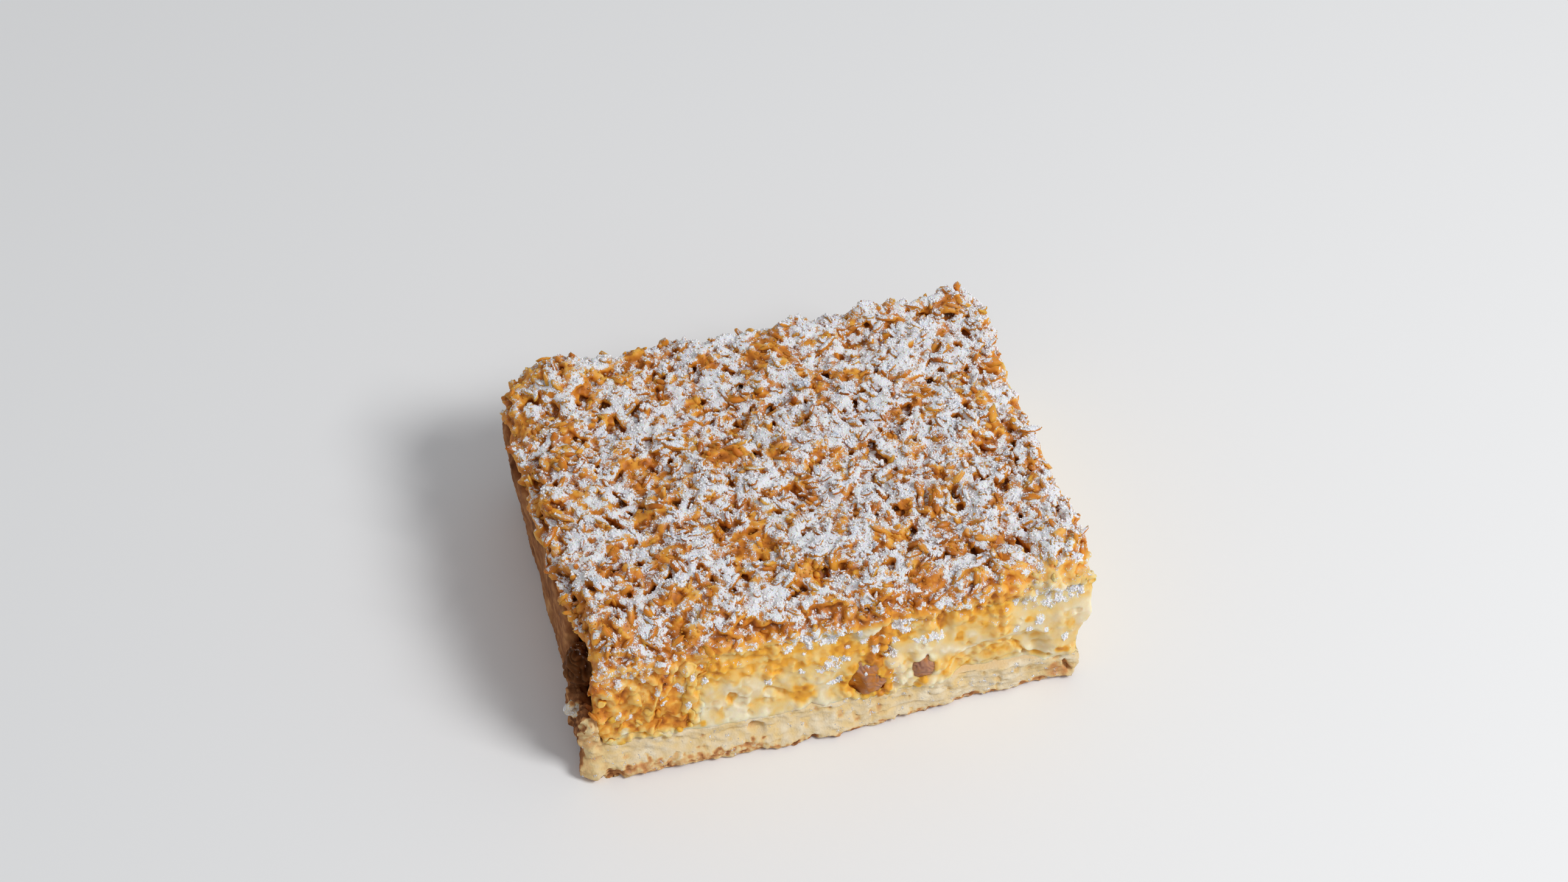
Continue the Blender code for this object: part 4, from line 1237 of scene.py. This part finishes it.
def lay_strand(points, faces, length, width, thickness):
    """Drapes a strand at a random place on what is built so far, unless it would stand too high there."""
    global laid_count
    yaw = draw.uniform(0, math.pi)
    middle = (draw.uniform(cad_low.x, cad_high.x), draw.uniform(cad_low.y, cad_high.y))
    bow = draw.uniform(-1, 1) * 28.0
    reach = np.linspace(-0.5, 0.5, 9) * length
    ahead = np.array((math.cos(yaw), math.sin(yaw)))
    aside = np.array((-math.sin(yaw), math.cos(yaw)))
    line = np.array(middle) + reach[:, None] * ahead + (bow * reach**2)[:, None] * aside
    i, j = cells(line[:, 0], line[:, 1])
    if not strand_room[i, j].all() or pit_map[i, j].any():
        return False
    across = np.linspace(-0.5, 0.5, 5) * width
    sweep = line[:, None, :] + across[None, :, None] * aside
    i, j = cells(sweep[..., 0], sweep[..., 1])
    under = built[i, j]
    under = np.where(under == NOWHERE, np.median(under), under)
    support = 0.5 * under.max(axis=1) + 0.5 * under.mean(axis=1)
    for _ in range(3):
        support = np.convolve(np.pad(support, 1, mode="edge"), (0.25, 0.5, 0.25), mode="valid")
    level = support + thickness * (0.5 - STRAND_EMBED)
    if (level + thickness / 2 > finished[i, j].max(axis=1) + 0.0003).sum() > 3:
        return False
    roll = math.atan2(under[:, -1].mean() - under[:, 0].mean(), width) * 0.6
    roll += draw.uniform(-0.25, 0.25)
    level = level + draw.uniform(-0.06, 0.10) * reach
    spine_x = np.interp(points[:, 0], reach, line[:, 0])
    spine_y = np.interp(points[:, 0], reach, line[:, 1])
    spine_z = np.interp(points[:, 0], reach, level)
    size = draw.uniform(0.8, 1.15)
    side = (points[:, 1] * math.cos(roll) - points[:, 2] * math.sin(roll)) * size
    rise = (points[:, 1] * math.sin(roll) + points[:, 2] * math.cos(roll)) * size
    bent = (spine_x + side * aside[0], spine_y + side * aside[1], spine_z + rise)
    laid_points.append(np.column_stack(bent))
    laid_faces.extend(tuple(index + laid_count for index in face) for face in faces)
    laid_count += len(points)
    crown = level[:, None] + thickness / 2 * np.sqrt(1 - (across / width * 1.6) ** 2)[None, :]
    np.maximum.at(built, (i, j), np.where(covered[i, j], crown, NOWHERE))
    return True


for seed, (length, width, thickness, count) in enumerate(STRANDS):
    strand = make_strand(length, width, thickness, seed)
    strand_points = points_of(strand)
    strand_faces = [tuple(face.vertices) for face in strand.data.polygons]
    bpy.data.objects.remove(strand)
    laid, tries = 0, 0
    while laid < count and tries < 12 * count:
        laid += lay_strand(strand_points, strand_faces, length, width, thickness)
        tries += 1

strand_heap = new_piece("strand_heap", np.concatenate(laid_points), laid_faces)
apply_modifier(strand_heap, "TRIANGULATE")
pale_strand = make_strand(*PALE_STRAND, len(STRANDS))
pale_points = points_of(pale_strand)
lean = math.atan2(PALE_TO[1] - PALE_FROM[1], PALE_TO[0] - PALE_FROM[0])
along, up = pale_points[:, 0].copy(), pale_points[:, 2].copy()
pale_points[:, 0] = (PALE_FROM[0] + PALE_TO[0]) / 2 + along * math.cos(lean) - up * math.sin(lean)
pale_points[:, 2] = (PALE_FROM[1] + PALE_TO[1]) / 2 + along * math.sin(lean) + up * math.cos(lean)
pale_points[:, 1] += front_depth(pale_points[:, 0].mean(), pale_points[:, 2].mean()) - 0.0005
move_points(pale_strand, pale_points)
join_to(strand_heap, pale_strand)
stick_on(strand_heap, lambda places, normals: normals[:, 2] > 0.3, *TOP_CRUMBS, rng, roundness=1)
join_to(topping, strand_heap)
fuse(topping, FUSE_VOXEL)


def keep_outer_skin(piece):
    """Deletes what the remesh left inside: every part that doesn't hang together with the highest point."""
    select_only(piece)
    highest = int(points_of(piece)[:, 2].argmax())
    bpy.ops.object.mode_set(mode="EDIT")
    bpy.ops.mesh.select_mode(type="VERT")
    bpy.ops.mesh.select_all(action="DESELECT")
    bm = bmesh.from_edit_mesh(piece.data)
    bm.verts.ensure_lookup_table()
    bm.verts[highest].select = True
    bmesh.update_edit_mesh(piece.data)
    bpy.ops.mesh.select_linked()
    bpy.ops.mesh.select_all(action="INVERT")
    bpy.ops.mesh.delete(type="VERT")
    bpy.ops.object.mode_set(mode="OBJECT")


keep_outer_skin(topping)


def below_rim_of(points):
    """1 on the topping's sides up to where they round over into its top, and 0 above."""
    return 1 - ease(points[:, 2], slab_low + 0.0010, slab_low + 0.0040)


points, front, right = cut_sides(topping)
below_rim = below_rim_of(points)
tear(topping, front * below_rim, right * below_rim, np.full(len(points), 1.1))
points, front, right = cut_sides(topping)
at_seam = (np.abs(points[:, 2] - slab_low) < 0.0012) * (points[:, 2] < slab_low + 0.0002)
points[:, 1] += front * below_rim_of(points) * (hollowed(points) + SEAM_DIP * at_seam)
move_points(topping, points)
roughen(topping, 0.0014, 0.0006)
roughen(topping, 0.0006, 0.0003)
thin_out(topping, TOPPING_FACES)


def sky_over(piece):
    """For each point, how much of the sky the heap leaves free, and whether nothing hangs over the point."""
    points = points_of(piece)
    top = np.full((columns, rows), NOWHERE)
    np.maximum.at(top, cells(points[:, 0], points[:, 1]), points[:, 2])
    i, j = cells(points[:, 0], points[:, 1])
    blocked = np.zeros(len(points))
    directions = [(math.cos(turn), math.sin(turn)) for turn in np.arange(8) * math.pi / 4]
    for step_x, step_y in directions:
        horizon = np.zeros(len(points))
        for distance in (2, 3, 4, 6, 8, 11):
            far_i = np.clip(i + round(step_x * distance), 0, columns - 1)
            far_j = np.clip(j + round(step_y * distance), 0, rows - 1)
            slope = (top[far_i, far_j] - points[:, 2]) / (distance * LAY_CELL)
            horizon = np.maximum(horizon, slope)
        blocked += horizon / np.hypot(1, horizon) / len(directions)
    open_above = ease(points[:, 2] - top[i, j], -0.0012, -0.0005)
    return 1 - blocked, open_above


def sugar_share(points):
    """How thickly the sugar was sifted: most over the middle and the back right, least at the front edge."""
    x, y = points[:, 0], points[:, 1]
    share = 0.52 + 0.06 * ease(x, -0.030, 0.012)
    share -= 0.30 * ease(-y, 0.027, 0.036) * ease(x, -0.034, -0.018)
    share -= 0.10 * ease(-x, 0.025, 0.044) * ease(y, 0.005, 0.030)
    share -= 0.16 * ease(x, 0.024, 0.038) * ease(-y, 0.028, 0.034)
    share -= 0.14 * ease(-x, 0.014, 0.026) * ease(-y, 0.020, 0.032)
    return share + 0.26 * grain(points, 0.010, 6.0)


def is_on_top(points):
    """1 on the topping's top, 0 on its sides. The rim at the front right counts as a side."""
    smooth_rim = ease(points[:, 0], 0.012, 0.036) * ease(-points[:, 1], 0.024, 0.033)
    return ease(points[:, 2] - 0.0030 * smooth_rim, slab_low + 0.0010, slab_low + 0.0040)


def sugar_on(points, normals, front, right, open_above, ridges):
    """The sugar number of each point of the topping or its crumbs: what was sifted on it or fell on a cut."""
    patches = 0.55 * grain(points, 0.0036, 8.0) + 0.50 * grain(points, 0.0015, 1.5)
    patches += 0.20 * grain(points, 0.0006, 2.5)
    lies_flat = ease(normals[:, 2], 0.30, 0.70)
    sifted = lies_flat * open_above * np.clip(sugar_share(points) + patches + 0.12 * ridges, 0.0, 1.0)
    fell_on_cut = np.maximum(front, right) * cut_sugar(points, normals)
    return np.maximum(sifted * ease(points[:, 2], slab_low - 0.002, slab_low + 0.003), fell_on_cut)


def bake_and_shade_on(points, free_sky, ridges):
    """How baked each point of the topping or of its crumbs is, with painted shade in the pits where the heap
    hides the sky, and painted highlights on ridges and painted shade in creases.
    """
    on_top = is_on_top(points)
    # Where the heap hides the sky the strands are painted darker, as painted shade, and ridges paler, as
    # painted highlights.
    strand_bake_and_shade = 0.56 + 0.30 * (1 - free_sky) + 0.14 * grain(points, 0.0060, 4.5)
    strand_bake_and_shade += 0.12 * grain(points, 0.0018, 5.5)
    strand_bake_and_shade -= 0.20 * ease(points[:, 0], 0.020, 0.042) * ease(-points[:, 1], 0.022, 0.033)
    strand_bake_and_shade -= 0.12 * ridges + 0.05 * ease(-points[:, 0], 0.010, 0.040) * ease(points[:, 1], 0.005, 0.030)
    side_bake_and_shade = cut_bake_and_shade(points) + 0.02 - 0.14 * ridges
    side_bake_and_shade += 0.22 * tint_of(points, side_crumbs) * ease(side_bake_and_shade, 0.2, 0.4)
    side_bake_and_shade += 0.25 * ease(-points[:, 0], 0.040, 0.044) * (1 - on_top)
    side_bake_and_shade = with_bits(points, side_bake_and_shade)
    return side_bake_and_shade + (strand_bake_and_shade - side_bake_and_shade) * on_top


points, front, right = cut_sides(topping)
normals = normals_of(topping)
ridges = convexity(topping, spans=6)
free_sky, open_above = sky_over(topping)
sugar = sugar_on(points, normals, front, right, open_above, ridges)
thick = ease(sugar, 0.42, 0.62) * (0.7 + 0.6 * grain(points, 0.0007, 3.5))
move_points(topping, points + normals * (SUGAR_HEIGHT * thick)[:, None])
topping.data.shade_smooth()
mark(topping, "sugar", sugar)
mark(topping, "bake_and_shade", bake_and_shade_on(points, free_sky, ridges))
dough = baked_material(
    "baked_dough", TOPPING_COLOURS, roughness=0.45, mottle=0.22, relief=0.5, gloss=0.25, translucent=0.5
)
topping.data.materials.append(dough)
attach(topping, "root")
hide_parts("grated_topping")


# The crumbs of the grated dough: what broke off the strands before they were baked, from fine crumbs to flat
# flakes. They lie half sunk among the strands and along the golden cuts. Each kind is modelled once, in four
# shapes, and scattered.
DOUGH_CRUMBS = (
    # name, smallest and largest size, roundness, how many, sink, least and most proportions, lies flat
    ("dough_flakes", 0.0018, 0.0050, 2, 950, 0.47, (0.80, 0.26, 0.20), (1.00, 0.42, 0.34), True),
    ("dough_crumbs", 0.0008, 0.0020, 2, 700, 0.60, (0.40, 0.40, 0.40), (1.00, 1.00, 1.00), False),
    ("dough_fines", 0.0004, 0.0010, 1, 4500, 0.50, (0.40, 0.40, 0.40), (1.00, 1.00, 1.00), False),
)
CRUMBS_SEED = 21
CRUMBS_TINT = 0.13  # how much lighter or darker than the dough round it a crumb may be
CRUMBS_SKY = 0.7  # how much of the sky the heap leaves free to them, which sets their painted shade


def takes_crumbs(places, normals):
    """How likely a crumb of dough lies there: on the top, and less on the golden cuts."""
    on_cut = np.maximum(normals[:, 0], -normals[:, 1]) > 0.5
    golden = 0.15 * ease(cut_bake_and_shade(places), 0.30, 0.50) * (places[:, 1] < FRONT_LINE + 0.006)
    in_the_open = (places[:, 2] > slab_low + 0.0020) | on_cut
    return in_the_open * np.where(on_cut & (is_on_top(places) < 0.9), golden, (normals[:, 2] > 0.2))


rng = np.random.default_rng(CRUMBS_SEED)
sugared_pieces = [(topping, sugar), (filling, filling_sugar)]
for name, smallest, largest, roundness, count, sink, least, most, lies_flat in DOUGH_CRUMBS:
    places, normals = spots_on(topping, count, takes_crumbs, rng)
    sizes = smallest + (largest - smallest) * rng.beta(1.2, 2.2, count)
    shapes = [make_lump(roundness, 0.20, seed) for seed in range(LUMP_SHAPES)]
    crumbs = scattered(name, shapes, places, normals, sizes, sink, rng, least, most, lies_flat)
    points, normals = points_of(crumbs), normals_of(crumbs)
    front = ease(-normals[:, 1], 0.1, 0.5) * (points[:, 1] < FRONT_LINE + 0.006) * (1 - is_on_top(points))
    tints = np.repeat(rng.uniform(-CRUMBS_TINT, CRUMBS_TINT, count), len(points) // count)
    all_of, none_of = np.ones(len(points)), np.zeros(len(points))
    crumb_sugar = sugar_on(points, normals, front, right=none_of, open_above=all_of, ridges=none_of)
    mark(crumbs, "sugar", crumb_sugar)
    mark(crumbs, "bake_and_shade", bake_and_shade_on(points, CRUMBS_SKY * all_of, ridges=none_of) + tints)
    crumbs.data.shade_smooth()
    crumbs.data.materials.append(dough)
    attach(crumbs, "root")
    sugared_pieces.append((crumbs, crumb_sugar))


# The powdered sugar: sifted over the slice once it had cooled, so it lies in clumps on whatever faces up. The
# thin layer is part of the surfaces above. These are the clumps and grains that stand on it, each modelled
# once, in four shapes, and scattered.
SUGAR_PIECES = (  # name, smallest and largest size, and the least sugar where it lies
    ("sugar_clumps", 0.00030, 0.00078, 0.50),
    ("sugar_grains", 0.00016, 0.00042, 0.38),
    ("sugar_dust", 0.00012, 0.00024, 0.36),
)
SUGAR_COUNT = 9800  # of each of these
SUGAR_SHARES = (0.70, 0.05, 0.15, 0.05, 0.05)  # of them, on the topping, the filling and each kind of crumb
SUGAR_SINK = 0.35
SUGAR_SEED = 5


def sugar_material():
    """Dry white powder: matt, with a fine lumpy relief."""
    material = bpy.data.materials.new("powdered_sugar")
    material.use_nodes = True
    tree = material.node_tree
    shader = tree.nodes["Principled BSDF"]
    shade = add_node(tree, "ShaderNodeMapRange", Value=speckle(tree, 0.0010))
    for name, number in (("From Min", -0.3), ("From Max", 0.3), ("To Min", 0.90), ("To Max", 0.98)):
        shade.inputs[name].default_value = number
    tint = blend_colours(tree, shade.outputs["Result"], (0.0, 0.0, 0.0, 1.0), (1.0, 0.99, 1.0, 1.0))
    tree.links.new(tint, shader.inputs["Base Color"])
    shader.inputs["Roughness"].default_value = POWDER_ROUGHNESS
    grains = speckle(tree, 0.00018, 3.0)
    bump = add_node(tree, "ShaderNodeBump", Strength=0.8, Distance=0.00012, Height=grains)
    tree.links.new(bump.outputs["Normal"], shader.inputs["Normal"])
    return material


sugar_finish = sugar_material()
rng = np.random.default_rng(SUGAR_SEED)
for name, smallest, largest, least in SUGAR_PIECES:
    places, normals = np.zeros((0, 3)), np.zeros((0, 3))
    for (piece, numbers), share in zip(sugared_pieces, SUGAR_SHARES):
        corners = np.array([tuple(face.vertices) for face in piece.data.polygons])
        enough = ease(numbers[corners].mean(axis=1), least - 0.1, least + 0.15)
        spots, ways = spots_on(piece, round(SUGAR_COUNT * share), lambda places, normals: enough, rng)
        places, normals = np.vstack((places, spots)), np.vstack((normals, ways))
    sizes = smallest + (largest - smallest) * rng.beta(1.3, 3.0, len(places))
    shapes = [make_lump(1, 0.18, seed) for seed in range(LUMP_SHAPES)]
    sugar_piece = scattered(name, shapes, places, normals, sizes, SUGAR_SINK, rng)
    sugar_piece.data.shade_smooth()
    sugar_piece.data.materials.append(sugar_finish)
    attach(sugar_piece, "root")


# The studio: a pale floor that runs out of sight, a pale sky, and a large soft lamp high on the right.
CAMERA_TARGET = Vector((0.00351, 0.01972, 0.0150))
CAMERA_TURN = math.radians(-13.61)
CAMERA_RAISED = math.radians(47.93)
CAMERA_DISTANCE = 0.6470
FLOOR_SIZE = 6
FLOOR_COLOUR = (0.87, 0.87, 0.87, 1)
LAMP_PLACE = (0.55, -0.45, 0.75)
LAMP_SIZE = 0.35
LAMP_POWER = 6.9
SKY_COLOUR = (0.95, 0.97, 1.0, 1)
SKY_STRENGTH = 0.42

bpy.ops.object.select_all(action="DESELECT")
bpy.ops.mesh.primitive_plane_add(size=FLOOR_SIZE, location=(0, 0, 0))
floor = bpy.context.object
floor.name = "floor"
floor_paint = bpy.data.materials.new("floor_paint")
floor_paint.use_nodes = True
floor_shader = floor_paint.node_tree.nodes["Principled BSDF"]
floor_shader.inputs["Base Color"].default_value = FLOOR_COLOUR
floor_shader.inputs["Roughness"].default_value = 0.9
floor.data.materials.append(floor_paint)

camera_data = bpy.data.cameras.new("camera")
camera_data.lens = 80
camera_data.sensor_width = 36
camera = bpy.data.objects.new("camera", camera_data)
bpy.context.scene.collection.objects.link(camera)
toward_camera = Vector(
    (
        math.sin(CAMERA_TURN) * math.cos(CAMERA_RAISED),
        -math.cos(CAMERA_TURN) * math.cos(CAMERA_RAISED),
        math.sin(CAMERA_RAISED),
    )
)
camera.location = CAMERA_TARGET + toward_camera * CAMERA_DISTANCE
camera.rotation_mode = "QUATERNION"
camera.rotation_quaternion = (-toward_camera).to_track_quat("-Z", "Y")
camera_data.clip_start = 0.01
camera_data.clip_end = 20
bpy.context.scene.camera = camera

bpy.ops.object.light_add(type="AREA", location=LAMP_PLACE)
lamp = bpy.context.object
lamp.name = "soft_lamp"
lamp.data.size = LAMP_SIZE
lamp.data.energy = LAMP_POWER
lamp.rotation_mode = "QUATERNION"
lamp.rotation_quaternion = lamp.location.to_track_quat("Z", "Y")

world = bpy.data.worlds.new("pale_sky")
world.use_nodes = True
world.node_tree.nodes["Background"].inputs["Color"].default_value = SKY_COLOUR
world.node_tree.nodes["Background"].inputs["Strength"].default_value = SKY_STRENGTH
bpy.context.scene.world = world
bpy.context.scene.view_settings.view_transform = "Standard"
